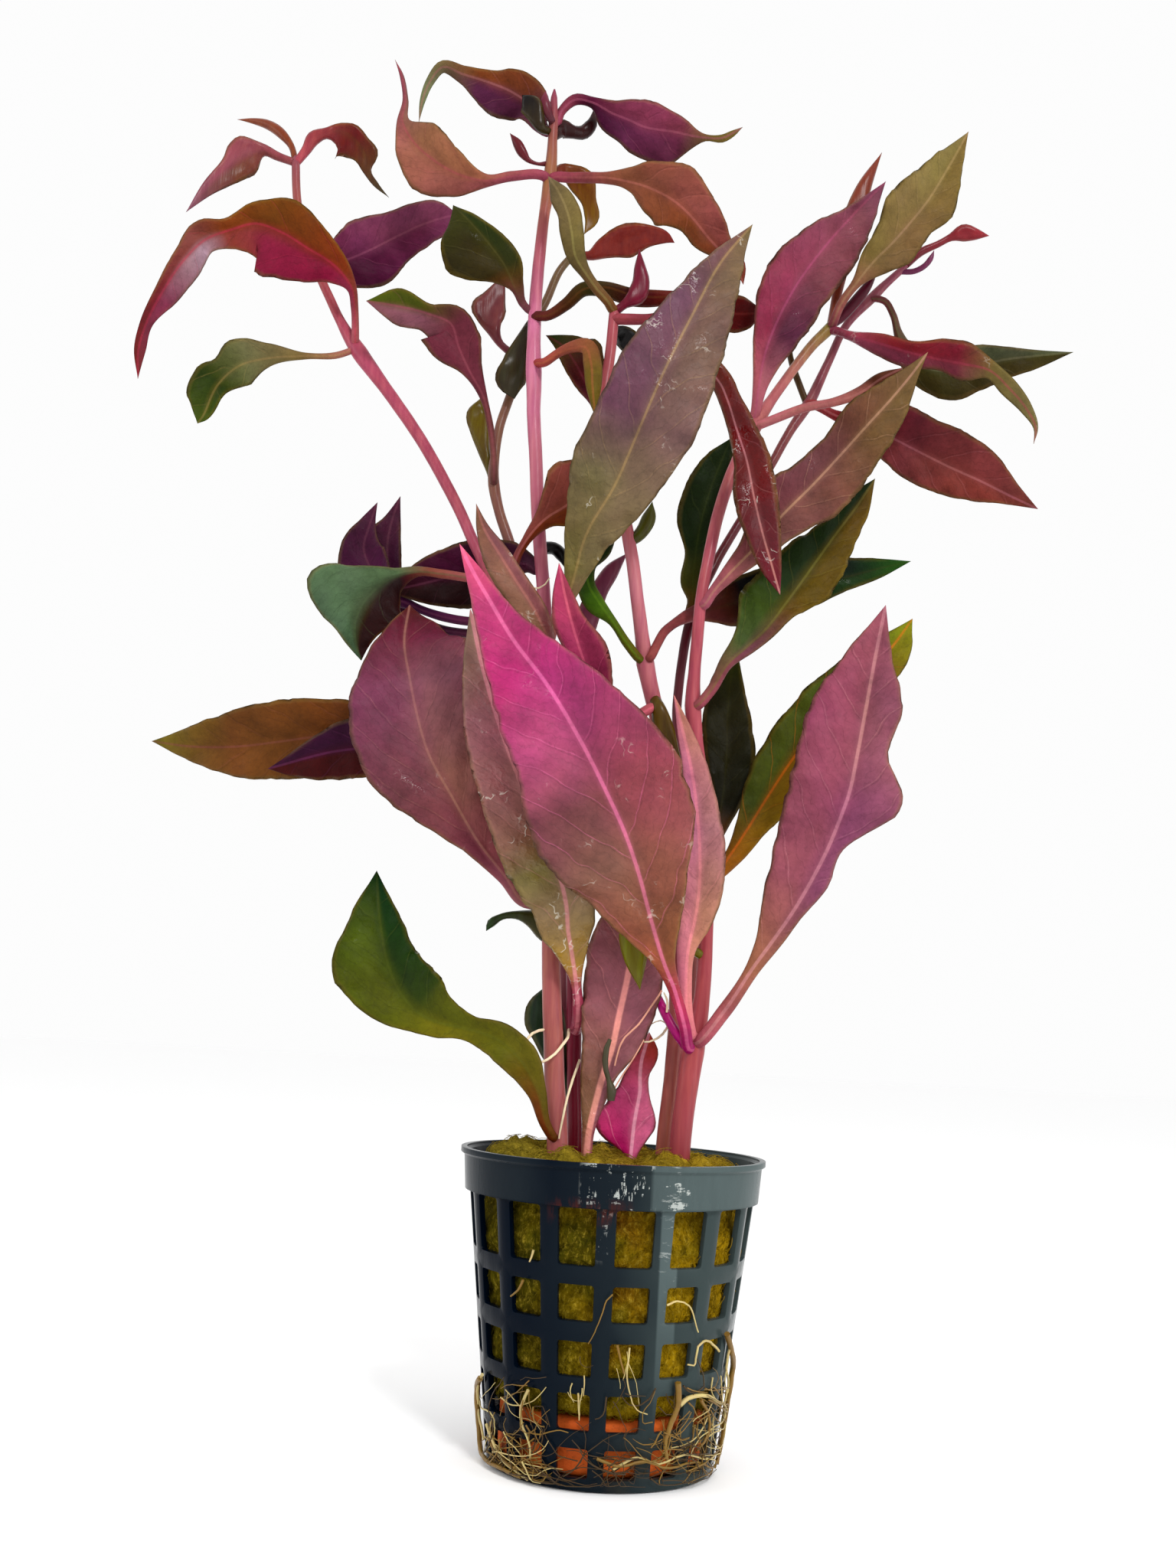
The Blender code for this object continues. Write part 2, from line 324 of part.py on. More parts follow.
# Young leaves and bracts, fused to the stem they grow from
YOUNG = {
    "a": [
        [(384, 212, -12, .7, .7), (362, 204, -12, .8, .8), (345, 197, -12, 1, 1.2),
         (322, 203, -11, 3.3, 3.4), (298, 220, -10, 3, 1.8), (272, 245, -8, 1.4, 1.2),
         (243, 277, -6, 0, 0)],
        [(386, 212, -12.4, .6, .6), (380, 190, -13.5, .6, .6), (368, 175, -14, .9, .9),
         (350, 163, -15.5, .85, .85), (330, 158, -17, .5, .5), (310, 156, -18, 0, 0)],
        [(386, 214, -12, .7, .7), (400, 196, -12, .9, .9), (411, 182, -12, 1.5, 1),
         (428, 173, -12, .9, 1.3), (444, 171, -12.3, 1.4, 4), (457, 177, -12.8, 2.2, 5),
         (470, 191, -13.3, 2.2, 3.6), (477, 205, -13.6, 2.6, 2.2), (481, 222, -13.8, .6, 1.1),
         (491, 241, -13.9, .5, .5), (508, 258, -14, 0, 0)],
        [(719, 1230, 4, .9, .9), (706, 1218, 4, 1, 1.5), (695, 1207, 3.5, .8, 2.3),
         (675, 1197, 3, .5, 1), (655, 1197, 3, .6, .5), (640, 1208, 3, .6, .7),
         (635, 1216, 3, 0, 0)],
    ],
    "b": [
        [(722, 180, -6.4, .7, .7), (736, 169, -9, 1.7, 1.6), (749, 173, -10, 1.2, 1.1),
         (763, 173, -11, 1.3, 1.2), (773, 163, -11, 1.2, 1), (776, 142, -11, 0, 0)],
        [(718, 172, -5.6, .6, .6), (708, 168, -4.5, .9, .9), (700, 152, -4, 1.6, 1.6),
         (693, 136, -4, 2.2, 1.8), (682, 124, -4, 0, 0)],
        [(722, 160, -5.2, .6, .6), (716, 150, -4.5, .8, .9), (711, 136, -4.2, 1, 1.2),
         (713, 118, -4.2, 0, 0)],
        [(714, 214, -6, .5, .5), (702, 214, -5.2, .3, .3), (690, 209, -5, .5, .5),
         (683, 199, -4.8, 1, .8), (675, 187, -4.6, .8, .9), (666, 174, -4.4, 0, 0)],
        [(718, 234, -6.4, .8, .8), (738, 224, -10, 1.5, 1.2), (756, 243, -11, 3.4, 1.6),
         (768, 264, -11.5, 1.6, 1.2), (772, 284, -12, 1.5, 1.2), (763, 306, -12, 0, 0)],
        [(699, 416, -4.4, .7, .7), (692, 424, -8, .8, .8), (686, 448, -8.5, 1.2, 2),
         (677, 478, -9, 1.6, 3), (670, 503, -9, 2, 3), (672, 521, -9, 0, 0)],
        [(708, 742, -3.4, .8, .8), (712, 716, -6, 1.1, 1.1), (725, 717, -7, 1.1, 1.1),
         (735, 728, -7, 1, 1), (738, 742, -7, 0, 0)],
        [(716, 868, -3, .8, .8), (745, 850, -2, .9, .9), (765, 830, -1, 1.5, 1.2),
         (770, 800, -1, 2, 2), (783, 770, -1.5, 1.5, 1.6), (798, 745, -2, 1.2, 1.5),
         (820, 722, -3, 0, 0)],
        [(750, 1440, -.5, .9, .9), (737, 1400, -2.5, 2, 1), (727, 1360, -3, 3.5, 1.8),
         (720, 1320, -3.2, 4.5, 2), (722, 1280, -3.5, 0, 0)],
    ],
    "c": [
        [(755, 330, -15, .6, .6), (768, 334, -14.5, .8, .8), (790, 326, -14, 2.2, 1.6),
         (820, 314, -13.5, 2.9, 3), (850, 310, -13, 2.1, 1.6), (870, 312, -12.5, 1.2, .8),
         (881, 317, -12, 0, 0)],
        [(681, 476, -12.4, .7, .7), (668, 462, -12, .7, .7), (652, 447, -11.5, .7, .7),
         (642, 430, -11, 1.1, 1.8), (640, 410, -11.5, 3.4, 2.8), (648, 385, -12, 1.9, 1.8),
         (660, 358, -12, 0, 0)],
        [(645, 636, -10.6, .7, .7), (641, 618, -12.5, .7, .7), (634, 590, -13, 1.3, .9),
         (628, 560, -13.5, 2, 1.5), (624, 540, -14, 2, 1.6), (628, 520, -14, 0, 0)],
    ],
    "d": [
        [(822, 708, 5, .8, .8), (830, 703, 5, 1, 1), (840, 692, 5, 1.2, 1.2),
         (848, 675, 5, 1.2, 1.2), (852, 655, 5, 0, 0)],
        [(803, 408, 3, .8, .8), (815, 398, 3, .8, .8), (832, 385, 3, 1.8, 1.8),
         (837, 370, 3, 1.6, 1.6), (836, 350, 3, 1.1, 1.1), (835, 325, 3, 0, 0)],
        [(800, 432, 2.6, .8, .8), (815, 440, -1, 2, 2), (835, 460, -3, 2, 2),
         (850, 500, -4, 0, 0)],
        [(854, 912, 3, .9, .9), (862, 925, 4.5, 1, 1.6), (870, 950, 4.5, 1.3, 2.2),
         (882, 985, 4.5, .8, 1.2), (895, 1015, 4.5, 0, 0)],
    ],
    "e": [
        [(1085, 428, -8, .8, .8), (1090, 400, -9.5, .8, .8), (1100, 350, -9.5, 1.2, 1.2),
         (1110, 300, -10, 1.8, 1.8), (1128, 245, -10.5, 1.3, 1.4), (1152, 199, -11, 0, 0)],
        [(1089, 422, -8, .8, .8), (1097, 416, -8, .9, .9), (1112, 400, -7.5, 1, 1),
         (1130, 378, -6.5, .9, .9), (1148, 350, -5.5, 0, 0)],
        [(920, 1250, 4.4, .8, .8), (895, 1235, 7, .8, .8), (860, 1212, 9, .9, .9),
         (828, 1215, 10, 2.2, 2.2), (830, 1250, 10, 2, 2), (836, 1293, 10, 0, 0)],
        [(903, 1376, 5, .8, .8), (885, 1352, 6, .8, .8), (868, 1322, 5, .8, .8),
         (858, 1300, 4, .6, .6), (850, 1282, 3.5, 0, 0)],
    ],
    "f": [
        [(1183, 347, -19, .6, .6), (1205, 328, -20, .7, .7), (1225, 319, -20, .6, .6),
         (1242, 310, -20, .7, .7), (1258, 305, -20, 1.6, 1.4), (1275, 306, -20, 1, 1),
         (1292, 308, -20, 0, 0)],
        [(1175, 355, -19, .5, .5), (1195, 354, -19, .5, .5), (1208, 347, -18.6, .5, .5),
         (1217, 335, -18.3, .4, .4), (1220, 327, -18, 0, 0)],
        [(1053, 526, -16, .6, .6), (1045, 505, -15.6, .6, .6), (1036, 480, -15, .6, .6),
         (1031, 458, -15, .6, .6), (1035, 430, -15, 2, 2), (1045, 400, -15, 0, 0)],
    ],
}

# Thick root strands outside the basket: picture positions, radius
ROOTS = {
    "roots_left": (0.5, [(627, 1800), (622, 1818), (620, 1842), (620, 1862), (626, 1886),
                         (634, 1906), (655, 1918), (680, 1930)]),
    "roots_right": (0.5, [(950, 1742), (955, 1765), (958, 1790), (956, 1820), (952, 1842),
                          (947, 1862), (942, 1885), (937, 1912)]),
    "roots_front": (0.5, [(885, 1806), (886, 1835), (876, 1860), (868, 1880), (871, 1905)]),
}
ROOT_LIFT = 0.95              # from the basket's face to the middle of a root


def view_frame():
    """Right, up and forward directions of the picture."""
    forward = Vector((math.sin(YAW) * math.cos(PITCH),
                      math.cos(YAW) * math.cos(PITCH),
                      math.sin(PITCH)))
    level = Vector((math.cos(YAW), -math.sin(YAW), 0.0))
    upright = level.cross(forward)
    right = level * math.cos(ROLL) + upright * math.sin(ROLL)
    up = upright * math.cos(ROLL) - level * math.sin(ROLL)
    return right, up, forward


RIGHT, UP, FORWARD = view_frame()


def sight(px, py):
    """Direction in which a picture position is seen."""
    across = (px - MIDDLE[0]) / FOCAL
    down = (py - MIDDLE[1]) / FOCAL
    return FORWARD + RIGHT * across - UP * down


def spot(px, py, depth):
    """The point seen at a picture position, at a depth in front of the pot's axis."""
    ray = sight(px, py)
    return EYE + ray * ((-EYE.y - depth) / ray.y)


def wall_radius(z):
    """Outer radius of the basket at a height."""
    return BASE_RADIUS + (WALL_TOP_RADIUS - BASE_RADIUS) * min(z, WALL_TOP) / WALL_TOP


def beside_wall(px, py, lift):
    """The nearest point seen at a picture position that is a lift away from the basket."""
    ray = sight(px, py).normalized()
    best = None
    start = -EYE.y - 27.0
    for step in range(280):
        point = EYE + ray * ((start + step * 0.1) / ray.y)
        away = math.hypot(point.x, point.y) - wall_radius(point.z) - lift
        if best is None or away < best[0]:
            best = (away, point)
        if away <= 0.0:
            break
    point = best[1]
    around = Vector((point.x, point.y, 0.0)).normalized()
    reach = wall_radius(point.z) + lift
    return Vector((around.x * reach, around.y * reach, max(point.z, 0.9)))


def material(name, tone, roughness=0.5, metallic=0.0):
    made = bpy.data.materials.new(name)
    made.use_nodes = True
    shader = made.node_tree.nodes["Principled BSDF"]
    shader.inputs["Base Color"].default_value = (*tone, 1.0)
    shader.inputs["Roughness"].default_value = roughness
    shader.inputs["Metallic"].default_value = metallic
    return made


def place(name, mesh, smooth=True):
    """An object of a bmesh given in millimetres."""
    bmesh.ops.recalc_face_normals(mesh, faces=mesh.faces)
    bmesh.ops.scale(mesh, vec=(MM, MM, MM), verts=mesh.verts)
    data = bpy.data.meshes.new(name)
    for face in mesh.faces:
        face.smooth = smooth
    mesh.to_mesh(data)
    mesh.free()
    thing = bpy.data.objects.new(name, data)
    bpy.context.scene.collection.objects.link(thing)
    return thing


def loft(rings, closed=False):
    """A mesh through rings of points; a ring of one point is a tip."""
    mesh = bmesh.new()
    rows = [[mesh.verts.new(point) for point in ring] for ring in rings]
    pairs = list(zip(rows, rows[1:]))
    if closed:
        pairs.append((rows[-1], rows[0]))
    for low, high in pairs:
        count = max(len(low), len(high))
        for i in range(count):
            j = (i + 1) % count
            if len(high) == 1:
                mesh.faces.new((low[i], low[j], high[0]))
            elif len(low) == 1:
                mesh.faces.new((low[0], high[j], high[i]))
            else:
                mesh.faces.new((low[i], low[j], high[j], high[i]))
    if not closed:
        for end in (rows[0], rows[-1]):
            if len(end) > 2:
                mesh.faces.new(end)
    return mesh


def tube_rings(points, radii, sides):
    """Circles across a path, carried along it without twisting."""
    rings = []
    side = None
    for i, point in enumerate(points):
        ahead = points[min(i + 1, len(points) - 1)] - points[max(i - 1, 0)]
        ahead.normalize()
        if side is None:
            side = ahead.orthogonal().normalized()
        side = (side - ahead * side.dot(ahead)).normalized()
        over = ahead.cross(side)
        turn = [2.0 * math.pi * k / sides for k in range(sides)]
        rings.append([point + side * (radii[i] * math.cos(a)) + over * (radii[i] * math.sin(a))
                      for a in turn])
    return rings


def lathe_rings(profile, sides):
    """Level circles of (radius, height); a radius of nought gives a single point."""
    rings = []
    for radius, z in profile:
        if radius == 0.0:
            rings.append([Vector((0.0, 0.0, z))])
            continue
        turn = [2.0 * math.pi * k / sides for k in range(sides)]
        rings.append([Vector((radius * math.cos(a), radius * math.sin(a), z)) for a in turn])
    return rings


def stem_path(key):
    """Points and radii of a stem, from the bottom of its socket to its tip."""
    points = [spot(px, py, depth) for px, py, depth, radius in STEMS[key]]
    radii = [row[3] for row in STEMS[key]]
    foot = points[0].copy()
    foot.z = WOOL_TOP - SOCKET_DEPTH
    return [foot] + points, [radii[0]] + radii


def nearest_on_stem(point, path):
    """Axis point and radius of a stem where it is nearest to a point."""
    points, radii = path
    best = None
    for i in range(len(points) - 1):
        along = points[i + 1] - points[i]
        share = max(0.0, min(1.0, (point - points[i]).dot(along) / along.length_squared))
        axis = points[i] + along * share
        away = (point - axis).length
        if best is None or away < best[0]:
            best = (away, axis, radii[i] + (radii[i + 1] - radii[i]) * share)
    return best


def leaf_rings(rows, lift=LIFT, fine=True, path=None):
    """Cross sections of a leaf; with a stem's path, the stalk starts at the stem's face."""
    rows = [list(row) for row in rows]
    points = [spot(*row[:3]) for row in rows]
    if path:
        while nearest_on_stem(points[1], path)[0] < nearest_on_stem(points[1], path)[2] + 0.6:
            del rows[1]
            del points[1]
        start, end = points[0], points[1]
        for step in range(60):
            points[0] = start.lerp(end, step / 60.0)
            away, axis, radius = nearest_on_stem(points[0], path)
            if away >= radius + GAP + 0.15:
                break
    rings = []
    for i, point in enumerate(points):
        left, right = rows[i][3:5]
        if left + right == 0.0:
            rings.append([point])
            continue
        along = (points[min(i + 1, len(points) - 1)] - points[max(i - 1, 0)]).normalized()
        view = (point - EYE).normalized()
        side = along.cross(view).normalized()
        front = along.cross(side).normalized()
        near = (-EYE.y - rows[i][2]) / -EYE.y
        left *= near
        right *= near
        flat = max(0.0, min(1.0, (left + right - 2.4) / 2.6))
        stalk = 0.42 * (left + right)
        rib = stalk + (RIB_HALF - stalk) * flat
        blade = 0.72 * rib + (BLADE_HALF - 0.72 * rib) * flat
        place_at = 0.72 + (0.55 - 0.72) * flat
        rise = lift * flat
        bow = BOW * flat
        ring = []
        for sign, reach in ((1, left), (-1, right)):
            edge = point + side * (sign * reach) + front * (reach * rise)
            middle = point + side * (sign * reach * place_at)
            middle += front * (reach * (rise * place_at + bow))
            ring.append((edge, middle))
        (left_edge, left_mid), (right_edge, right_mid) = ring
        if fine:
            section = [left_edge, left_mid + front * blade, point + front * rib,
                       right_mid + front * blade, right_edge, point - front * rib]
        else:
            section = [left_edge, point + front * rib, right_edge, point - front * rib]
        if path:
            for k, corner in enumerate(section):
                away, axis, radius = nearest_on_stem(corner, path)
                clear = radius + GAP + 0.1
                if away < clear:
                    section[k] = axis + (corner - axis).normalized() * clear
        rings.append(section)
    return rings


def combine(thing, others, operation):
    """Join other objects to one, or cut them from it, and keep only the result."""
    for other in others:
        change = thing.modifiers.new("change", "BOOLEAN")
        change.solver = "EXACT"
        change.operation = operation
        change.object = other
    depsgraph = bpy.context.evaluated_depsgraph_get()
    result = bpy.data.meshes.new_from_object(thing.evaluated_get(depsgraph))
    thing.modifiers.clear()
    thing.data = result
    for other in others:
        bpy.data.objects.remove(other, do_unlink=True)
    return thing


def build_pot():
    """The lattice as a sheet with its windows left out, then given its thickness."""
    levels = [(RIM_RADIUS, POT_HEIGHT), (RIM_RADIUS, POT_HEIGHT - LIP_HEIGHT),
              (BAND_TOP_RADIUS, POT_HEIGHT - 1.5 * LIP_HEIGHT), (BAND_RADIUS, WALL_TOP)]
    heights = sorted({z for row in WINDOW_ROWS for z in row} | {0.0, WALL_TOP}, reverse=True)
    levels += [(wall_radius(z), z) for z in heights]
    pitch = 360.0 / WINDOW_COLUMNS
    stops = []
    for column in range(WINDOW_COLUMNS):
        middle = WINDOW_TURN + column * pitch
        stops += [(middle - WINDOW_WIDTH / 2, True), (middle + WINDOW_WIDTH / 2, False)]
    mesh = bmesh.new()
    rings = []
    for radius, z in levels:
        turns = [math.radians(degrees - 90.0) for degrees, opens in stops]
        rings.append([mesh.verts.new((radius * math.cos(a), radius * math.sin(a), z))
                      for a in turns])
    for i in range(len(rings) - 1):
        span = (levels[i + 1][1], levels[i][1])
        for k, (degrees, opens) in enumerate(stops):
            if opens and span in WINDOW_ROWS:
                continue
            j = (k + 1) % len(stops)
            mesh.faces.new((rings[i][k], rings[i + 1][k], rings[i + 1][j], rings[i][j]))
    mesh.faces.new(list(reversed(rings[-1])))
    pot = place("net_pot", mesh, smooth=False)
    thickness = pot.modifiers.new("thickness", "SOLIDIFY")
    thickness.thickness = WALL * MM
    thickness.offset = -1.0
    thickness.use_even_offset = True
    pot.data.materials.append(material("pot_plastic", (0.02, 0.03, 0.035), 0.3))


def build_plug(sockets):
    inner = WALL + WOOL_CLEAR
    profile = [(wall_radius(WOOL_BOTTOM) - inner, WOOL_BOTTOM),
               (wall_radius(20.0) - inner, 20.0),
               (wall_radius(29.0) - inner, 29.0),
               (wall_radius(WOOL_SHOULDER) - inner, WOOL_SHOULDER),
               (WOOL_TOP_RADIUS, 42.0),
               (WOOL_TOP_RADIUS, WOOL_TOP - 1.0),
               (WOOL_TOP_RADIUS - 1.2, WOOL_TOP)]
    plug = place("rockwool", loft(lathe_rings(profile, WOOL_SIDES)))
    width, depth, height = SLIT
    turn = math.radians(WINDOW_TURN - 90.0)
    across = Vector((-math.sin(turn), math.cos(turn), 0.0)) * width / 2
    outward = Vector((math.cos(turn), math.sin(turn), 0.0))
    rings = []
    for z in (24.0, 24.0 + height):
        inside = outward * (wall_radius(z) - inner - depth) + Vector((0.0, 0.0, z))
        outside = outward * 30.0 + Vector((0.0, 0.0, z))
        rings.append([inside - across, inside + across, outside + across, outside - across])
    cutters = [place("crack", loft(rings))]
    for points, radii in sockets:
        wide = [(radius + GAP + 0.1) / math.cos(math.pi / 8) for radius in radii]
        cutters.append(place("socket", loft(tube_rings(points, wide, 8))))
    combine(plug, cutters, "DIFFERENCE")
    plug.data.materials.append(material("rockwool", (0.20, 0.17, 0.012), 0.95))


def build_ring():
    profile = [(RING_BORE, RING_BOTTOM), (RING_RADIUS - RING_ROUND, RING_BOTTOM),
               (RING_RADIUS, RING_BOTTOM + RING_ROUND), (RING_RADIUS, RING_TOP - RING_ROUND),
               (RING_RADIUS - RING_ROUND, RING_TOP), (RING_BORE, RING_TOP)]
    ring = place("clay_ring", loft(lathe_rings(profile, RING_SIDES), closed=True))
    ring.data.materials.append(material("clay", (0.58, 0.09, 0.01), 0.8))


def build_stem(key):
    points, radii = stem_path(key)
    stem = place("stem_" + key, loft(tube_rings(points, radii, STEM_SIDES)))
    young = [place("young", loft(leaf_rings(rows, fine=False))) for rows in YOUNG[key]]
    combine(stem, young, "UNION")
    stem.data.materials.append(material("stem_" + key, STEM_TONE[key], 0.4))


def build_leaf(key):
    stem, tone, rows = LEAVES[key]
    leaf = place("leaf_" + key, loft(leaf_rings(rows, path=stem_path(stem))))
    leaf.data.materials.append(material("leaf_" + key, tone, 0.35))


def plug_stub(rows):
    """The part of a leaf's stalk that stands in the plug."""
    top = spot(*rows[0][:3])
    foot = Vector((top.x, top.y, WOOL_TOP - STUB_DEPTH))
    return [foot, top, spot(*rows[1][:3])], [rows[0][3]] * 3


def build_plug_leaf(key):
    tone, rows = PLUG_LEAVES[key]
    points, radii = plug_stub(rows)
    rings = leaf_rings(rows)
    lowest = points[0] - points[1]
    rings.insert(0, [corner + lowest for corner in rings[0]])
    leaf = place("leaf_" + key, loft(rings))
    leaf.data.materials.append(material("leaf_" + key, tone, 0.35))


def build_root(name):
    radius, marks = ROOTS[name]
    points = [beside_wall(px, py, ROOT_LIFT) for px, py in marks]
    radii = [radius] * len(points)
    radii[-1] = radius * 0.6
    root = place(name, loft(tube_rings(points, radii, ROOT_SIDES)))
    root.data.materials.append(material(name, (0.28, 0.19, 0.06), 0.6))


for leftover in list(bpy.data.objects):
    bpy.data.objects.remove(leftover, do_unlink=True)

build_pot()
socket_paths = []
for stem_key in STEMS:
    stem_points, stem_radii = stem_path(stem_key)
    beneath = stem_points[0] - Vector((0.0, 0.0, GAP + 0.1))
    socket_paths.append(([beneath] + stem_points[1:3], stem_radii[:3]))
for leaf_rows in (entry[1] for entry in PLUG_LEAVES.values()):
    stub_points, stub_radii = plug_stub(leaf_rows)
    beneath = stub_points[0] - Vector((0.0, 0.0, GAP + 0.1))
    socket_paths.append(([beneath] + stub_points[1:], stub_radii))
build_plug(socket_paths)
build_ring()
for stem_key in STEMS:
    build_stem(stem_key)
for leaf_key in LEAVES:
    build_leaf(leaf_key)
for leaf_key in PLUG_LEAVES:
    build_plug_leaf(leaf_key)
for root_name in ROOTS:
    build_root(root_name)
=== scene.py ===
# Looks for the red-leaved aquarium plant in its net pot. Lengths are millimetres,
# turned into metres as each mesh is made.
import math
import random

import bmesh
import bpy
import numpy as np
from mathutils import Matrix, Vector, noise


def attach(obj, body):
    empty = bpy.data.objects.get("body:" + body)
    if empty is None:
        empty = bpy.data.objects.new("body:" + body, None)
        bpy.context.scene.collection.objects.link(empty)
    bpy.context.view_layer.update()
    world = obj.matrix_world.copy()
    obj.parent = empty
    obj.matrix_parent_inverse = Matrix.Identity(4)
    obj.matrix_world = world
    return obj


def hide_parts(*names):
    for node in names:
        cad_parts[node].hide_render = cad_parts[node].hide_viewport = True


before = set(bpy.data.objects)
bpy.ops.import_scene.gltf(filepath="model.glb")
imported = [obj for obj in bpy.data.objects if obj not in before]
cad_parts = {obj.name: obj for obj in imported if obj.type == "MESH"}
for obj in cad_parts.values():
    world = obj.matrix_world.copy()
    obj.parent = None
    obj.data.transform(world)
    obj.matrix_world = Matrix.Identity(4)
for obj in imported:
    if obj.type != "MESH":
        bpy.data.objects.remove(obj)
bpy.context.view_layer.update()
mm = 0.001
noise.seed_set(7)  # so that noise_vector shakes the surfaces alike each time

# camera: where the picture was taken from
view = {"eye": (0.0, -258.66, 66.67), "yaw": -1.625, "pitch": 9.302, "roll": 3.015,
        "focal": 2000.0, "middle": (768.0, 1024.0)}

eye = Vector(view["eye"])
yaw, pitch, roll = (math.radians(view[k]) for k in ("yaw", "pitch", "roll"))
ahead = Vector((math.sin(yaw) * math.cos(pitch), math.cos(yaw) * math.cos(pitch), math.sin(pitch)))
level = Vector((math.cos(yaw), -math.sin(yaw), 0.0))
upright = level.cross(ahead)
rightWay = level * math.cos(roll) + upright * math.sin(roll)
upWay = upright * math.cos(roll) - level * math.sin(roll)


def addCamera():
    # a 32 mm high sensor seen as a picture 2048 high
    lens = bpy.data.cameras.new("camera")
    lens.sensor_fit = "VERTICAL"
    lens.sensor_height = 32.0
    lens.lens = 32.0 * view["focal"] / 2048.0
    lens.clip_start = 0.01
    camera = addObject("camera", lens)
    place = np.eye(4)
    place[:3, :3] = np.array([rightWay, upWay, -ahead]).T
    place[:3, 3] = np.array(eye) * mm
    camera.matrix_world = Matrix(place.tolist())
    bpy.context.scene.camera = camera


def sight(px, py):
    across = (px - view["middle"][0]) / view["focal"]
    down = (py - view["middle"][1]) / view["focal"]
    return ahead + rightWay * across - upWay * down


def spot(px, py, depth):
    # the point seen at a picture position, depth mm in front of the pot's axis
    ray = sight(px, py)
    return eye + ray * ((-eye.y - depth) / ray.y)


def addObject(name, data):
    thing = bpy.data.objects.new(name, data)
    bpy.context.scene.collection.objects.link(thing)
    return thing


# materials
class Wire:
    # one socket of a node tree, so that shader maths reads as plain expressions
    def __init__(self, tree, socket):
        self.tree = tree
        self.socket = socket

    def math(self, operation, *others):
        return addNode(self.tree, "ShaderNodeMath", {"operation": operation}, [self, *others])

    def __add__(self, other):
        return self.math("ADD", other)

    def __sub__(self, other):
        return self.math("SUBTRACT", other)

    def __mul__(self, other):
        return self.math("MULTIPLY", other)

    def __truediv__(self, other):
        return self.math("DIVIDE", other)

    def __radd__(self, other):
        return self.math("ADD", other)

    def __rmul__(self, other):
        return self.math("MULTIPLY", other)

    def __rsub__(self, other):
        return addNode(self.tree, "ShaderNodeMath", {"operation": "SUBTRACT"}, [other, self])

    def clamp(self, low=0.0, high=1.0):
        return self.math("MAXIMUM", low).math("MINIMUM", high)

    def ramp(self, low, high):
        # 0 at low and 1 at high, straight between them and level beyond
        return ((self - low) / (high - low)).clamp()


def addNode(tree, kind, settings=None, values=(), out=0):
    node = tree.nodes.new(kind)
    for name, value in (settings or {}).items():
        setattr(node, name, value)
    pairs = values.items() if isinstance(values, dict) else enumerate(values)
    for name, value in pairs:
        socket = node.inputs[name]
        if isinstance(value, Wire):
            tree.links.new(value.socket, socket)
        else:
            socket.default_value = value
    return Wire(tree, node.outputs[out])


def linear(hexTone):
    # a screen colour such as "8c5a46" as the light it stands for
    parts = [int(hexTone[i:i + 2], 16) / 255.0 for i in (0, 2, 4)]
    return [p / 12.92 if p <= 0.04045 else ((p + 0.055) / 1.055) ** 2.4 for p in parts]


def paint(tone):
    return (*linear(tone), 1.0)


class Finish:
    # a Principled material and its tree
    def __init__(self, name, roughness, level=0.5, ior=1.45):
        self.material = bpy.data.materials.new(name)
        self.material.use_nodes = True
        self.tree = self.material.node_tree
        self.shader = self.tree.nodes["Principled BSDF"]
        self.shader.inputs["Roughness"].default_value = roughness
        self.shader.inputs["Specular IOR Level"].default_value = level
        self.shader.inputs["IOR"].default_value = ior

    def add(self, kind, settings=None, values=(), out=0):
        return addNode(self.tree, kind, settings, values, out)

    def into(self, socket, wire):
        self.tree.links.new(wire.socket, self.shader.inputs[socket])

    def place(self):
        return self.add("ShaderNodeTexCoord", out=3)

    def attribute(self, name, out=0):
        return self.add("ShaderNodeAttribute", {"attribute_name": name}, out=out)

    def parts(self, vector):
        first = self.add("ShaderNodeSeparateXYZ", values=[vector])
        return [Wire(self.tree, socket) for socket in first.socket.node.outputs]

    def stretched(self, vector, scale):
        return self.add("ShaderNodeMapping", values={"Vector": vector, "Scale": scale})

    def noise(self, vector, scale, detail=3.0, roughness=0.55):
        return self.add("ShaderNodeTexNoise", values={
            "Vector": vector, "Scale": scale, "Detail": detail, "Roughness": roughness})

    def mix(self, share, first, second, blend="MIX"):
        # sockets 0, 6 and 7 are the share and the two colours, output 2 the mixed colour
        return self.add("ShaderNodeMix", {"data_type": "RGBA", "blend_type": blend},
                        {0: share, 6: first, 7: second}, 2)

    def bump(self, height, strength, distance):
        self.into("Normal", self.add("ShaderNodeBump", values={
            "Strength": strength, "Distance": distance * mm, "Height": height}))


# leaf skin: tones come with the mesh, veins follow the blade's own measure, and wet patches carry painted
# glints
leafLook = {"veinGap": 8.0, "veinSweep": 1.25, "veinBend": 0.02, "veinWidth": 0.18,
            "veinShade": 0.26, "mottle": 0.75, "gloss": 0.07, "wetGloss": 0.55, "ior": 1.4,
            "depth": 0.72, "haze": 0.009, "dryRoughness": 0.5, "wetRoughness": 0.1,
            "paintedGlint": "e6e1d2", "margin": "8c7341"}


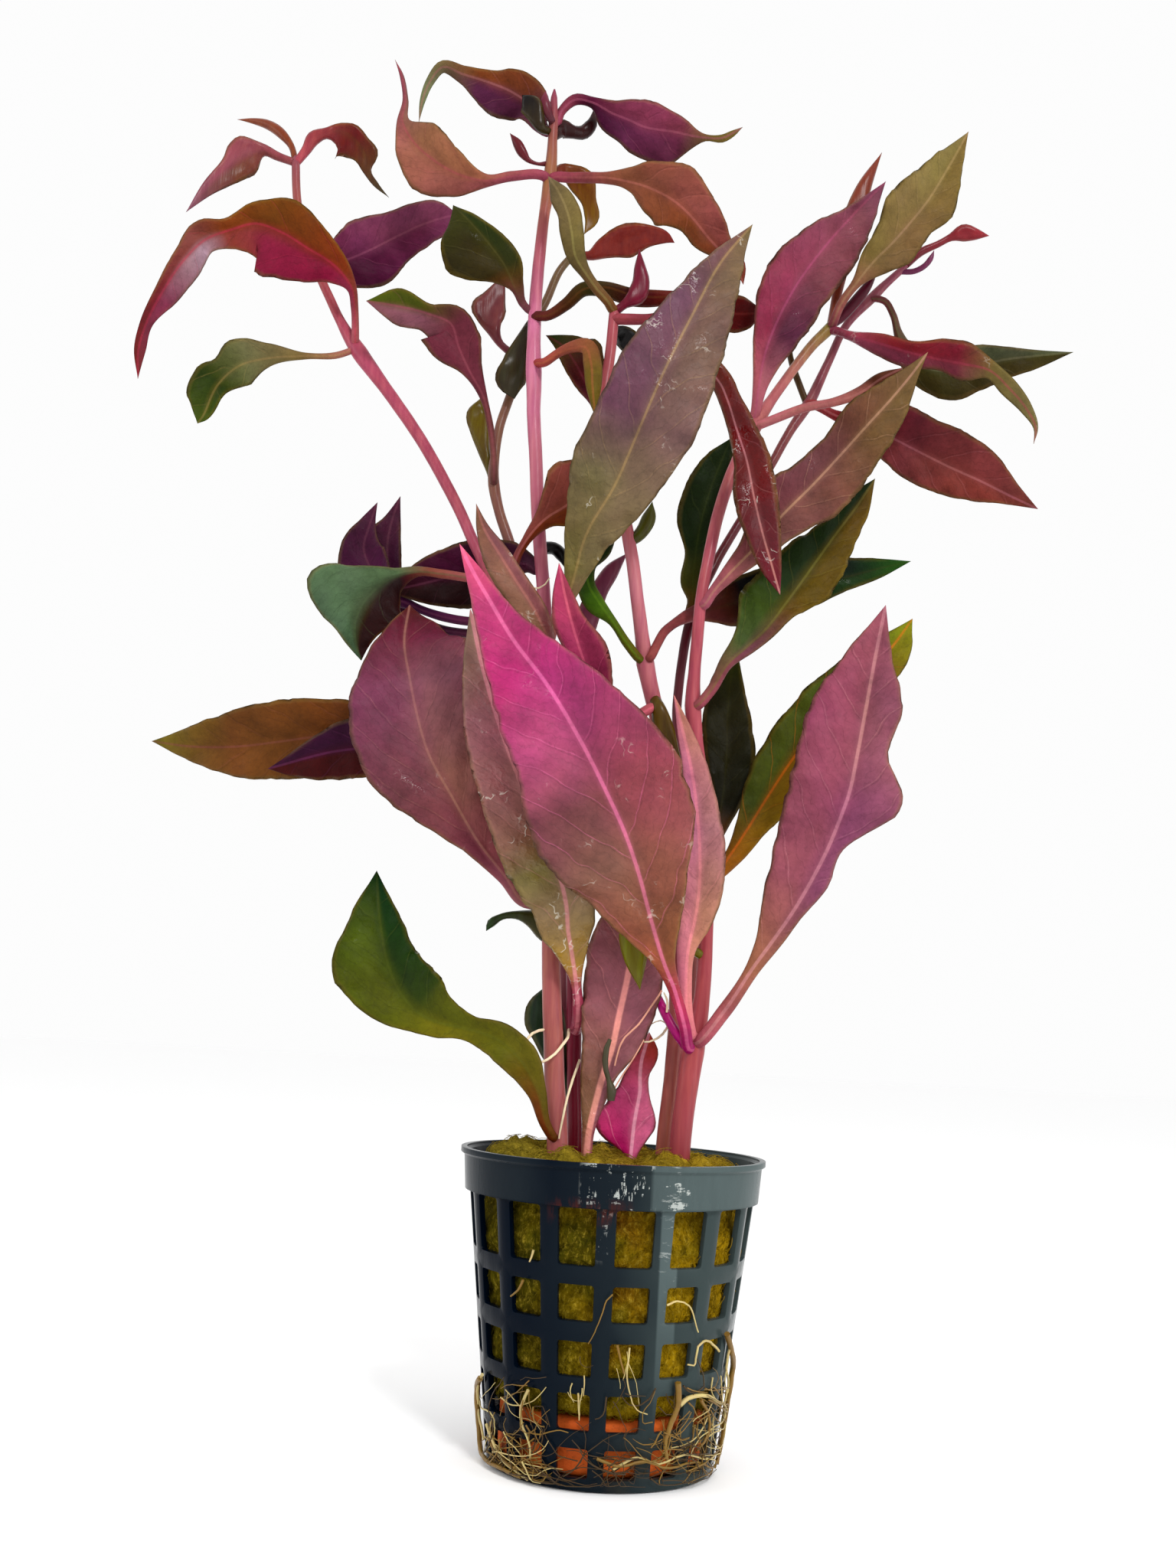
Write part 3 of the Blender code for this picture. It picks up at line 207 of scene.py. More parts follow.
def leafFinish(name, wet, ribTone, ribWidth, ribShade):
    gloss = leafLook["gloss"] + leafLook["wetGloss"] * wet * wet
    skin = Finish(name, leafLook["dryRoughness"], gloss, leafLook["ior"])
    tone = skin.attribute("tone")
    along, across, flat = skin.parts(skin.attribute("blade", 1))
    place = skin.place()
    side = across.math("ABSOLUTE")
    half = across.ramp(-0.001, 0.001) * 0.5
    wander = skin.noise(place, 95.0, 2.0) - 0.5
    sweep = side * leafLook["veinSweep"] + side * side * leafLook["veinBend"]
    count = (along - sweep) / leafLook["veinGap"] + half + wander * 0.9
    line = (count.math("FRACT") - 0.5).math("ABSOLUTE") * leafLook["veinGap"]
    vein = (1.0 - (line / leafLook["veinWidth"]).clamp()) * flat
    finer = (count * 3.0).math("FRACT") - 0.5 + (skin.noise(place, 600.0, 2.0) - 0.5) * 1.6
    net = (1.0 - (finer.math("ABSOLUTE") / 0.08).clamp()) * flat
    broad = skin.noise(place, 70.0, 4.0)
    patch = skin.noise(place, 260.0, 4.0, 0.6)
    fine = skin.noise(place, 1300.0, 4.0, 0.7)
    warm = skin.noise(skin.stretched(place, (1.0, 1.3, 0.8)), 48.0, 3.0) - 0.5
    shade = (1.0 + (broad - 0.5) * leafLook["mottle"] * 1.6 + (patch - 0.5) * leafLook["mottle"]
             + (fine - 0.5) * 0.6) * (1.0 - net * 0.14)
    tint = skin.add("ShaderNodeCombineXYZ", values=[
        shade * (1.0 + warm * 0.15), shade * (1.0 + warm * 0.8), shade * (1.0 - warm * 0.6)])
    body = skin.mix(1.0, tone, tint, "MULTIPLY")
    midrib = (1.0 - side / ribWidth).ramp(0.0, 0.4)
    lines = vein * leafLook["veinShade"] * (patch * 1.6).clamp() + midrib * ribShade
    pale = skin.mix(lines.clamp(), body, skin.mix(1.0, paint(ribTone), tint, "MULTIPLY"))
    shaded = 1.0 - (count.math("FRACT") - 0.44).math("ABSOLUTE").ramp(0.02, 0.0) * flat * 0.22
    grey = skin.add("ShaderNodeCombineXYZ", values=[shaded, shaded, shaded])
    filmAndSheen = skin.noise(place, 130.0, 3.0) + (patch - 0.5) * 0.3
    soaked = (filmAndSheen - (0.71 - 0.27 * wet)).ramp(0.0, 0.08)
    dry = leafLook["dryRoughness"] + (fine - 0.5) * 0.2 - (broad - 0.5) * 0.25
    skin.into("Roughness", dry + (leafLook["wetRoughness"] - dry) * soaked)
    ridge = 1.0 - (skin.noise(place, 330.0, 3.0, 0.6) - 0.5).math("ABSOLUTE") * 5.0
    bulge = ((count - 0.5) * (2.0 * math.pi)).math("COSINE") * flat * -0.5
    crease = (1.0 - (skin.noise(place, 420.0, 2.0, 0.5) - 0.5).math("ABSOLUTE") * 6.0).clamp()
    # pale streaks on the creases of wet patches: painted glints in the base colour
    paintedGlint = crease.ramp(0.85, 0.95) * soaked * (skin.noise(place, 240.0, 2.0) - 0.52).ramp(0.0, 0.04)
    skin.into("Base Color", skin.mix(paintedGlint * max(wet - 0.3, 0.0), skin.mix(1.0, pale, grey, "MULTIPLY"),
                                     paint(leafLook["paintedGlint"])))
    creased = crease * soaked * (0.15 + wet * 0.7)
    skin.bump(bulge + fine * 0.5 + broad * 1.5 + patch * 0.8 + ridge * 0.3 + creased - net * 0.15, 0.6, 0.3)
    return skin.material


stemLook = {"roughness": 0.32, "gloss": 0.22, "ior": 1.4, "shade": 0.44, "depth": 0.69, "haze": 0.006}


def stemFinish(name):
    skin = Finish(name, stemLook["roughness"], stemLook["gloss"], stemLook["ior"])
    place = skin.place()
    streaks = skin.noise(skin.stretched(place, (1100.0, 1100.0, 60.0)), 1.0, 3.0)
    broad = skin.noise(place, 110.0, 3.0)
    shade = stemLook["shade"] + streaks * 0.75 + broad * 0.4
    tint = skin.add("ShaderNodeCombineXYZ", values=[
        shade, shade * (0.6 + streaks * 0.7), shade * (0.75 + broad * 0.45)])
    skin.into("Base Color", skin.mix(1.0, skin.attribute("tone"), tint, "MULTIPLY"))
    skin.bump(streaks + broad * 0.5, 0.4, 0.2)
    return skin.material


# mesh helpers
def meshObject(name, verts, faces, material):
    # a smooth closed mesh whose faces point out
    data = bpy.data.meshes.new(name)
    data.from_pydata([tuple(v) for v in verts], [], faces)
    shape = bmesh.new()
    shape.from_mesh(data)
    bmesh.ops.recalc_face_normals(shape, faces=shape.faces)
    shape.to_mesh(data)
    shape.free()
    data.polygons.foreach_set("use_smooth", [True] * len(data.polygons))
    data.materials.append(material)
    return addObject(name, data)


def ringFaces(rings, sides):
    # the quads between rings of points that follow one another
    return [(i * sides + k, i * sides + (k + 1) % sides,
             (i + 1) * sides + (k + 1) % sides, (i + 1) * sides + k)
            for i in range(rings - 1) for k in range(sides)]


def unit(rows):
    return rows / np.linalg.norm(rows, axis=1)[:, None]


def setColours(data, name, colours):
    layer = data.color_attributes.new(name, "FLOAT_COLOR", "POINT")
    layer.data.foreach_set("color", np.hstack([colours, np.ones((len(colours), 1))]).ravel())


def setVectors(data, name, vectors):
    layer = data.attributes.new(name, "FLOAT_VECTOR", "POINT")
    layer.data.foreach_set("vector", np.asarray(vectors, dtype=float).ravel())


def smoothPath(knots, values, wanted):
    # a smooth curve through the values at the knots, read at the wanted places
    values = np.asarray(values, dtype=float)
    if values.ndim == 1:
        values = values[:, None]
    steps = np.diff(knots)[:, None]
    slopes = np.diff(values, axis=0) / steps
    tangents = np.zeros_like(values)
    tangents[0], tangents[-1] = slopes[0], slopes[-1]
    w = steps[:-1] / (steps[:-1] + steps[1:])
    tangents[1:-1] = slopes[:-1] * (1 - w) + slopes[1:] * w
    k = np.clip(np.searchsorted(knots, wanted) - 1, 0, len(knots) - 2)
    t = ((wanted - knots[k]) / np.diff(knots)[k])[:, None]
    h = np.diff(knots)[k][:, None]
    return ((2 * t**3 - 3 * t**2 + 1) * values[k] + (t**3 - 2 * t**2 + t) * h * tangents[k]
            + (-2 * t**3 + 3 * t**2) * values[k + 1] + (t**3 - t**2) * h * tangents[k + 1])


def stopTones(tones, share):
    # left and right tones at each share of the way along
    marks = [stop[0] for stop in tones]
    left = np.array([linear(stop[1]) for stop in tones])
    right = np.array([linear(stop[-1]) for stop in tones])
    return [np.stack([np.interp(share, marks, side[:, c]) for c in range(3)], axis=1)
            for side in (left, right)]


# leaves: each row is a midrib position in the picture, its depth, and how far the blade reaches
# to the left and right as walked from the stem; tones are left and right ones, stalk to tip
leafShape = {"lift": 0.16, "bow": 0.05, "halfSheet": 0.1, "ribRise": 0.22, "ribWidth": 0.35,
             "ripple": 0.45, "rippleLength": 8.0, "quilt": 0.22, "ragged": 0.045, "spacing": 0.75,
             "tip": 0.03}
# how wet each blade is, where it isn't the usual
wetness = {"b7_left": 0.75, "e6_front": 0.5, "b5_front": 0.55, "d2_right": 0.6, "a5_round": 0.38,
           "b6_left": 0.6, "low_mauve": 0.6, "e2_low": 0.4, "usual": 0.15}
# half width of the pale midrib and how strongly it shows
ribs = {"low_mauve": (0.6, 0.7), "e6_front": (0.36, 0.38), "low_pink": (0.35, 0.5),
        "d2_right": (0.2, 0.65), "e6_right": (0.34, 0.5), "e6_behind": (0.3, 0.35),
        "b7_left": (0.4, 0.5), "a7_low": (0.25, 0.12), "d3_right": (0.2, 0.1), "e5_up": (0.2, 0.1),
        "b3_left": (0.2, 0.15), "f3_left": (0.2, 0.15), "a2_left": (0.22, 0.25), "usual": (0.24, 0.38)}
leaves = {
    "a2_left": {"stem": "a", "rib": "8c6e46",
        "tones": [(0, "a05a5f"), (.3, "78643c"), (.55, "6e694b"), (.75, "323c14"), (1, "46501e")],
        "rows": [
            (440, 464, -10, .6, .6), (400, 465, -9.5, .6, .6), (350, 468, -9, 1.5, 2.8),
            (312, 478, -8.5, 3.8, 4.6), (298, 488, -8.2, 3.2, 3.4), (285, 502, -8, 2.2, 4.6),
            (264, 545, -7, .9, 2), (258, 553, -6, 0, 0)]},
    "a2_big": {"stem": "a", "rib": "962337",
        # the pale mauve-grey left tone at 0.6 of the way is a painted sheen
        "tones": [(0, "a0555f"), (.22, "87233c", "7d370f"), (.4, "7d283c", "6e410f"),
                  (.52, "823c32", "783c1e"), (.6, "a0828c", "824641"), (.78, "82374b", "73282d"),
                  (1, "6e2d28")],
        "rows": [
            (464, 446, -10, .7, .7), (463, 400, -9, .7, .7), (460, 378, -7, .9, .9),
            (440, 350, -4, 3.4, 2.5), (400, 323, -2, 6.9, 5.2), (365, 302, -1, 8.6, 6.1),
            (335, 292, 0, 7.8, 3.9), (302, 300, 1, 3.8, 2.2), (270, 312, 2, 2.4, 3.4),
            (240, 340, 3, 3.6, 2.2), (213, 380, 4, 3.1, 1.5), (190, 425, 5, 1.1, 1.1),
            (181, 455, 5.5, 1.3, .8), (180, 495, 6, 0, 0)]},
    "a3_right": {"stem": "a", "rib": "82405f",
        # the right half, the lower one, is darker: a painted shadow
        "tones": [(0, "6e2d46", "502337"), (.35, "78375a", "4b2037"), (.7, "7d3c5f", "6e2d50"),
                  (1, "783c5a")],
        "rows": [
            (412, 345, -12, 1, 1), (425, 345, -14, 2, 2), (450, 340, -14, 4.6, 5),
            (480, 328, -14.5, 5.8, 6.5), (520, 308, -15, 4.4, 4.6), (555, 292, -15.5, 3.9, 3.6),
            (580, 284, -16, 2.8, 2.5), (598, 280, -16, 0, 0)]},
    "a4_curl": {"stem": "a", "rib": "3c4b2d",
        "tones": [(0, "a05a5a"), (.3, "7d4637"), (.45, "2d1220", "5a734b"), (.85, "320f0f", "50694b"),
                  (1, "320a0a", "3c4b37")],
        "rows": [
            (632, 754, -5, .8, .8), (580, 750, -4, .8, .8), (545, 747, -3, .9, 1),
            (515, 753, -2, 3, 1.6), (490, 770, 0, 6, 5.5), (470, 795, 1, 8, 10.4),
            (463, 824, 2, 5.6, 3.3), (466, 846, 2, 2.5, 1.1), (472, 863, 2, 0, 0)]},
    "a4_twin": {"stem": "a", "rib": "5a2d3c",
        "tones": [(0, "6e3c46"), (.4, "461e3c"), (1, "4b2837")],
        "rows": [
            (662, 806, -6, .8, .8), (625, 812, -9, .8, .8), (580, 806, -10.5, .8, .8),
            (535, 790, -11, .9, .9), (500, 770, -11, 2.5, 2), (485, 745, -11, 6, 3.4),
            (475, 715, -11, 4.1, 3.4), (483, 685, -11, 2, 1.1), (493, 656, -11, 0, 0)]},
    "a4_back": {"stem": "a", "rib": "5a2d3c",
        "tones": [(0, "6e3c46"), (.4, "3c1932"), (1, "4b2837")],
        "rows": [
            (668, 825, -6, .8, .8), (620, 828, -11, .8, .8), (570, 820, -13.5, .8, .8),
            (525, 796, -14.5, 1.2, 1), (508, 745, -14.5, 4.7, 2.3), (506, 710, -14.5, 4.7, 2.4),
            (512, 680, -14.5, 1.6, 1.6), (523, 648, -14.5, 0, 0)]},
    "a5_round": {"stem": "a", "rib": "96645a",
        "tones": [(0, "a0646e"), (.25, "783746", "823f46"), (.5, "7d4450", "8a5652"),
                  (.75, "763e50", "87545a"), (.88, "6c2a3e"), (1, "461414")],
        "rows": [
            (716, 1183, 5, 1, 1), (685, 1178, 6, 1, 1), (660, 1145, 9, 1.4, 1.2),
            (625, 1100, 11, 3, 3.5), (590, 1040, 12, 7.8, 5.2), (560, 985, 12, 11, 7.6),
            (545, 935, 11, 11.9, 9.4), (535, 885, 10, 9.7, 10.6), (528, 840, 8, 5, 10.2),
            (535, 790, 5, 0, 0)]},
    "a6_brown": {"stem": "a", "rib": "6e3c32",
        "tones": [(0, "6e4632"), (.4, "5f321e"), (.8, "6e4628"), (1, "6e6428")],
        "rows": [
            (708, 1108, 1, 1, 1), (660, 1050, 1, 1, 1), (600, 1000, 0, 1, 1), (520, 980, -1, 4, 4),
            (460, 965, -3, 6, 6.5), (420, 962, -4, 6.8, 6.6), (370, 968, -5, 6.6, 7.1),
            (310, 975, -6, 5.3, 6.2), (250, 975, -7, 2.5, 3.6), (198, 968, -9, 0, 0)]},
    "a6_purple": {"stem": "a", "rib": "5a2846",
        "tones": [(0, "6e3c46"), (.4, "461419", "3c1932"), (1, "461419", "3c1932")],
        "rows": [
            (712, 1130, 4, 1, 1), (660, 1070, 5.5, 1, 1), (600, 1010, 5, 1, 1), (520, 985, 4, 4, 4),
            (480, 978, 3, 5, 6), (440, 981, 2, 5, 4.5), (400, 990, 1, 3.8, 2.5), (372, 998, 0, 2, 1),
            (350, 1004, -1, 0, 0)]},
    "a7_low": {"stem": "a", "rib": "50551e",
        "tones": [(0, "6e3223"), (.12, "6e3c23", "5f5023"), (.3, "5f5f1e", "645f23"),
                  (.5, "6e640a", "50500f"), (.58, "5a5a05", "323c0a"), (.8, "4b5505", "283c0f"),
                  (1, "1e370a")],
        "rows": [
            (722, 1485, 8, .8, .8), (714, 1470, 8.5, 1, .8), (702, 1425, 9, 1.8, 1.5),
            (680, 1385, 10, 3.1, 3.2), (650, 1358, 10, 3.1, 3), (614, 1345, 9, 2, 2.4),
            (598, 1341, 8.5, 2, 3.2), (578, 1337, 8, 2.5, 5.2), (548, 1324, 7, 3.6, 6.8),
            (525, 1300, 6, 6.6, 6.8), (507, 1260, 4, 9.4, 5.4), (496, 1200, 2, 5.4, 3.4),
            (492, 1137, 0, 0, 0)]},
    "b1_left": {"stem": "b", "rib": "8c5555",
        "tones": [(0, "824b5a"), (.25, "462332", "6e3c28"), (.5, "5a2d46", "7d4128"),
                  (.62, "644b3c", "78553c"), (.8, "6e6e50"), (1, "5f6450")],
        "rows": [
            (718, 172, -6.5, .9, .9), (708, 165, -8, 1.5, 1.2), (695, 140, -8, 3.5, 3.8),
            (672, 122, -8, 5.2, 4.2), (640, 108, -8.5, 4.6, 2.2), (605, 97, -9, 1.7, 1.5),
            (577, 88, -9.5, 1, 1.1), (562, 106, -10, .8, .8), (552, 130, -10, .6, .5),
            (547, 160, -10, 0, 0)]},
    "b1_right": {"stem": "b", "rib": "8c465a",
        "tones": [(0, "a04b5a"), (.25, "501e32", "3c1428"), (.45, "823c50", "5f2d46"),
                  (.7, "823c50", "642d46"), (.85, "6e5a32"), (1, "6e5a32")],
        "rows": [
            (726, 160, -6.5, .8, .8), (733, 146, -7, .8, .8), (752, 130, -7, 1, 1), (774, 134, -7, 1, 1),
            (800, 148, -7, 2.4, 3.6), (820, 156, -7.2, 3.6, 4.2), (840, 165, -7.5, 4.6, 5.2),
            (880, 172, -7.5, 3.2, 5.8), (922, 180, -8, .6, .6), (944, 180, -8, .6, .8),
            (957, 174, -8, .5, .6), (970, 166, -8, 0, 0)]},
    "b2_left": {"stem": "b", "rib": "8c3c46",
        "tones": [(0, "a0505a"), (.3, "8c4b4b", "965a46"), (.6, "965a50", "96644b"),
                  (.85, "824650", "785050"), (1, "783c4b")],
        "rows": [
            (712, 231, -5, .9, .9), (670, 230, -5, .9, .9), (635, 236, -4, 1.2, 1.2),
            (600, 228, -4, 4.2, 3.3), (565, 208, -3, 6.3, 4.9), (540, 185, -2, 4, 4.8),
            (526, 160, -1, 1.2, 1.6), (530, 130, -1, .6, .5), (525, 100, 0, .4, .4), (516, 78, 0, 0, 0)]},
    "b2_right": {"stem": "b", "rib": "a05a50",
        "tones": [(0, "aa505a"), (.35, "7d4b37", "824b3c"), (.7, "8c4b46", "784128"), (1, "6e3728")],
        "rows": [
            (724, 232, -5, .95, .95), (745, 232, -4, .95, .95), (770, 232, -2, 1, 1),
            (790, 232, 0, 1, 1.1), (820, 237, 2, 2.5, 1.4), (850, 246, 4, 4.8, 3.7),
            (880, 262, 5, 6.4, 5.3), (905, 285, 6, 5.1, 3.2), (925, 310, 6, 4.2, 2.8),
            (945, 332, 5, 2.5, 1.4), (963, 352, 4.5, 1.7, .6), (971, 372, 4, 0, 0)]},
    "b3_left": {"stem": "b", "rib": "504a28",
        "tones": [(0, "8c505f"), (.25, "643c32", "5a3c28"), (.4, "3c3408", "34361a"),
                  (.7, "342f08", "2f3618"), (1, "3f400a", "343a16")],
        "rows": [
            (697, 408, -4, .7, .7), (684, 398, -3, .7, .7), (672, 375, -1, 1, 1.8),
            (660, 348, 1, 5.3, 3.2), (640, 320, 2, 8.7, 3), (617, 293, 3, 7.6, 1.8), (592, 268, 2, 0, 0)]},
    "b3_right": {"stem": "b", "rib": "5a3214",
        "tones": [(0, "6e2d32"), (.4, "3c370f"), (.7, "461414"), (1, "823c32")],
        "rows": [
            (701, 413, -2.5, .9, .9), (712, 413, -2, .9, .9), (740, 397, -1, 1.1, 1.1),
            (762, 378, 0, 1.3, 1.3), (790, 375, 0, 1, 1.8), (825, 385, -1, 1.2, 2),
            (865, 388, -1.5, 1.2, 1.5), (905, 380, -2, 0, 0)]},
    "b4_right": {"stem": "b", "rib": "965032",
        "tones": [(0, "a03c46"), (.45, "965a3c"), (.7, "6e5a28"), (1, "6e5a28")],
        "rows": [
            (701, 475, -2, .8, .8), (712, 473, 0, .8, .8), (728, 462, 1, .8, .8), (748, 455, 3, 1.3, .8),
            (765, 455, 5, 1.8, 1), (772, 475, 6.5, 1.9, 1.4), (774, 505, 8, 1.6, 1.2), (777, 545, 8, 0, 0)]},
    "b5_front": {"stem": "b", "rib": "96784b",
        "tones": [(0, "a0505a"), (.2, "78693c", "786946"), (.38, "6e6044", "78644b"),
                  (.5, "694150", "735550"), (.75, "644150", "73554b"), (1, "735041", "6e5a37")],
        "rows": [
            (717, 842, 0, .9, .9), (722, 820, 2, 1, 1), (745, 770, 8, 1.4, 1.6),
            (765, 700, 13, 3.9, 4.6), (805, 630, 19, 8.8, 7.1), (835, 560, 22, 8.6, 9.5),
            (865, 490, 23, 8.2, 9.5), (905, 410, 21, 5.4, 7.3), (940, 345, 17, 2.5, 4.5),
            (983, 293, 12, 0, 0)]},
    "b6_arch": {"stem": "b", "rib": "5a2d3c",
        "tones": [(0, "5a3241"), (.3, "32141e", "321928"), (.6, "2d1220", "4b2337"), (1, "32141e")],
        "rows": [
            (703, 745, -4.2, .9, .9), (690, 738, -6, 1.5, 2), (672, 735, -7.3, 3.5, 3.8),
            (640, 742, -9.3, 5.5, 5.4), (605, 750, -10.3, 6, 5.4), (570, 758, -9.8, 4.8, 4.7),
            (535, 766, -9.2, 2.5, 2.8), (505, 772, -9, 0, 0)]},
    "b6_left": {"stem": "b", "rib": "a05f5a",
        "tones": [(0, "965555"), (.4, "8c6450", "8c5055"), (.8, "825546", "824b50"), (1, "785037")],
        "rows": [
            (720, 908, 0, 1, 1), (721, 880, 6, 1, 1), (720, 850, 10, 1, 1), (700, 800, 14, 3, 2),
            (675, 760, 16, 3.5, 2), (650, 720, 15, 3, 1.7), (632, 690, 13, 1.4, 1), (622, 658, 11, 0, 0)]},
    "b7_left": {"stem": "b", "rib": "d28287",
        "tones": [(0, "b45064"), (.14, "a03c50"), (.2, "a07d2d"), (.32, "967b53"),
                  (.42, "7d6e3c", "8c6450"), (.5, "956554", "9c6f72"), (.7, "a8666c", "a86a68"),
                  (1, "826e50")],
        "rows": [
            (752, 1345, 1, 1, 1), (755, 1320, 5, 1, 1), (752, 1280, 8, 1, 1), (746, 1240, 10, 3, 2.8),
            (742, 1215, 11.5, 4.8, 4.2), (740, 1185, 13, 5.9, 4.8), (728, 1135, 15, 8, 5.5),
            (705, 1080, 16, 8.2, 6), (675, 1010, 17, 7.3, 6), (650, 940, 17, 6, 5),
            (630, 870, 17, 3.5, 3), (614, 795, 17, 0, 0)]},
    "c3_left": {"stem": "c", "rib": "7d3c46",
        "tones": [(0, "785046"), (.4, "69323c"), (.65, "69323c"), (.8, "7d5055", "4b5514"),
                  (1, "7d5055", "4b5514")],
        "rows": [
            (645, 628, -9, .7, .7), (645, 600, -8, .6, .6), (641, 560, -7, .6, .6),
            (632, 520, -6, .7, .7), (612, 482, -5, 1.6, 2.7), (598, 450, -4, 5.3, 4.4),
            (590, 424, -3, 6.2, 3.6), (560, 410, -2, 3.4, 1.8), (520, 400, -1, 3.3, 3.2),
            (478, 393, 0, 0, 0)]},
    "c4_right": {"stem": "c", "rib": "aa5f5f",
        "tones": [(0, "a05a5f"), (.4, "82413c", "6e3214"), (1, "783c37", "6e3214")],
        "rows": [
            (684, 785, -8, .8, .8), (676, 760, -5, .8, .8), (672, 740, -2, .8, .8),
            (690, 702, 1, .9, .9), (712, 678, 2, 2.2, 1.8), (740, 660, 2, 6.5, 4), (770, 635, 1, 6, 4),
            (800, 600, 0, 0, 0)]},
    "d1_top": {"stem": "d", "rib": "827346",
        "tones": [(0, "7d5032"), (.3, "5f4b32", "6e5a3c"), (.7, "695a3c", "73643c"), (1, "6e6441")],
        "rows": [
            (800, 404, 3.5, .9, .9), (795, 395, 5, .9, .9), (780, 378, 6, .95, .95), (767, 360, 6, 1, 1),
            (752, 335, 5, 1.6, 1.9), (747, 305, 4, 2.2, 2.2), (742, 280, 3, 1.9, 2.4),
            (732, 255, 2, 2, 1.8), (716, 230, 1, 0, 0)]},
    "d1_right": {"stem": "d", "rib": "6e2823",
        "tones": [(0, "a04b55"), (.4, "5a1919"), (1, "5a1919")],
        "rows": [
            (806, 417, 3.5, 1, 1), (818, 417, 4, 1, 1), (850, 417, 2, 1, 1), (890, 412, -1, 2, 2),
            (930, 408, -4, 2.8, 2.8), (970, 410, -7, 3, 3), (1000, 408, -9, 0, 0)]},
    "d2_left": {"stem": "d", "rib": "5a1e28",
        "tones": [(0, "6e3237"), (.4, "4b1423"), (1, "3c3c14", "2d3c14")],
        "rows": [
            (785, 538, 3.5, 1, 1), (778, 525, 3, 1.1, 1.4), (765, 500, 0, 2, 3.7),
            (750, 472, -2, 2.2, 5.5), (733, 450, -4, 1.4, 2), (713, 438, -5, 0, 0)]},
    "d2_right": {"stem": "d", "rib": "a06464",
        "tones": [(0, "8c4650"), (.25, "6e3223"), (.5, "5f1919"), (1, "5f232d")],
        "rows": [
            (792, 527, 5, .9, .9), (820, 490, 7, .9, .9), (870, 475, 8, .9, .9), (925, 483, 9, 2.4, 1.6),
            (940, 500, 9, 2.4, 1.6), (950, 522, 10, 2.4, 1.6), (962, 560, 11, 3.4, 1.6),
            (975, 600, 12, 4.1, 2.3), (985, 650, 13, 4.2, 3.6), (997, 700, 14, 3.2, 3),
            (1010, 745, 14, 1.5, 1.9), (1019, 777, 14, 0, 0)]},
    "d3_left": {"stem": "d", "rib": "506e14",
        "tones": [(0, "645028"), (.4, "466400"), (.7, "23321e"), (1, "23321e")],
        "rows": [
            (838, 862, 4, .8, .8), (820, 842, 5, .8, .8), (800, 812, 6, .8, .8), (783, 788, 5.5, 2.4, 1),
            (768, 760, 4, 2, 1.2), (768, 738, 3, 1.5, 1.5), (785, 715, 2, 2, 2), (808, 690, 1, 0, 0)]},
    "d3_right": {"stem": "d", "rib": "3c3214",
        "tones": [(0, "964b4b"), (.3, "783c3c"), (.45, "1e1e05"), (.8, "1e2808", "283c08"), (1, "2d500a")],
        "rows": [
            (848, 860, 4.5, .8, .8), (858, 842, 4, .8, .8), (868, 825, 3, .8, .8), (880, 815, 2, .8, .8),
            (895, 808, 0, 1.3, .9), (915, 800, -3, 1.8, 1.6), (950, 790, -5, 3.6, 4),
            (1000, 775, -6, 4.5, 4.5), (1050, 765, -8, 4.5, 4), (1100, 755, -9, 3.6, 2.4),
            (1150, 742, -10, 1.7, 1.6), (1190, 733, -10, 0, 0)]},
    "d4_left": {"stem": "d", "rib": "c85a73",
        "tones": [(0, "b45a64"), (.4, "a53c5f", "822d46"), (1, "a53c5f", "963c55")],
        "rows": [
            (850, 925, 4.5, .9, .9), (820, 938, 7, .9, .9), (792, 928, 9, 1, 1),
            (775, 895, 12, 2.5, 3.6), (758, 850, 15, 2.6, 4.6), (746, 810, 17, 3.2, 2.5),
            (738, 778, 18, 2.3, 1.5), (730, 735, 19, 0, 0)]},
    "e1_left": {"stem": "e", "rib": "8c3c5a",
        "tones": [(0, "b4646e"), (.3, "873246", "552d3c"), (.7, "7d4150", "824650"),
                  (1, "783c5a", "7d465f")],
        "rows": [
            (985, 550, -2, .9, .9), (987, 538, -1, .9, .9), (991, 505, 0, 1.1, 1.6),
            (1000, 460, 0, 2.4, 4.1), (1015, 420, -1, 4.6, 5.8), (1040, 373, -2, 6.4, 6.2),
            (1075, 325, -3, 4.8, 6.4), (1115, 280, -5, 1.8, 4.2), (1157, 237, -7, 0, 0)]},
    "e1_right": {"stem": "e", "rib": "8c5a50",
        "tones": [(0, "b9696e"), (.6, "965a50"), (.8, "5a3223"), (1, "5a3223")],
        "rows": [
            (990, 556, -1, .8, .8), (1010, 548, -1, .8, .8), (1050, 533, -2, .8, .8),
            (1090, 525, -4, .8, .8), (1125, 512, -6, 1.1, 1.1), (1150, 495, -7, 1.1, 2),
            (1180, 480, -8, 0, 0)]},
    "e2_right": {"stem": "e", "rib": "8c6e50",
        "tones": [(0, "a0505a"), (.3, "735f37", "785f3c"), (.7, "786441", "735a37"),
                  (1, "786441", "735a37")],
        "rows": [
            (1087, 424, -7, .8, .8), (1098, 398, -4, .8, .8), (1120, 368, -2, 1, 1),
            (1140, 343, -1, 2.7, 3), (1165, 318, -1, 4.1, 4.8), (1188, 292, -1, 6.2, 4.1),
            (1212, 262, -2, 5.7, 5.2), (1238, 220, -3, 3.5, 2.7), (1265, 172, -5, 0, 0)]},
    "e2_low": {"stem": "e", "rib": "82283c",
        "tones": [(0, "a5505f"), (.3, "7d2328", "6e2d3c"), (.55, "782332", "6e2d3c"), (.68, "645532"),
                  (1, "6e6441")],
        "rows": [
            (1090, 432, -7, .8, .8), (1110, 438, -4, .8, .9), (1150, 449, -1, 1.8, 2.1),
            (1190, 461, 1, 2.1, 2.7), (1230, 470, 2, 3.6, 1.9), (1262, 476, 3, 3.8, 2.9),
            (1293, 484, 4, 1.7, 1.5), (1318, 507, 4, 1.6, 1.6), (1340, 533, 3, 1.1, 1.1),
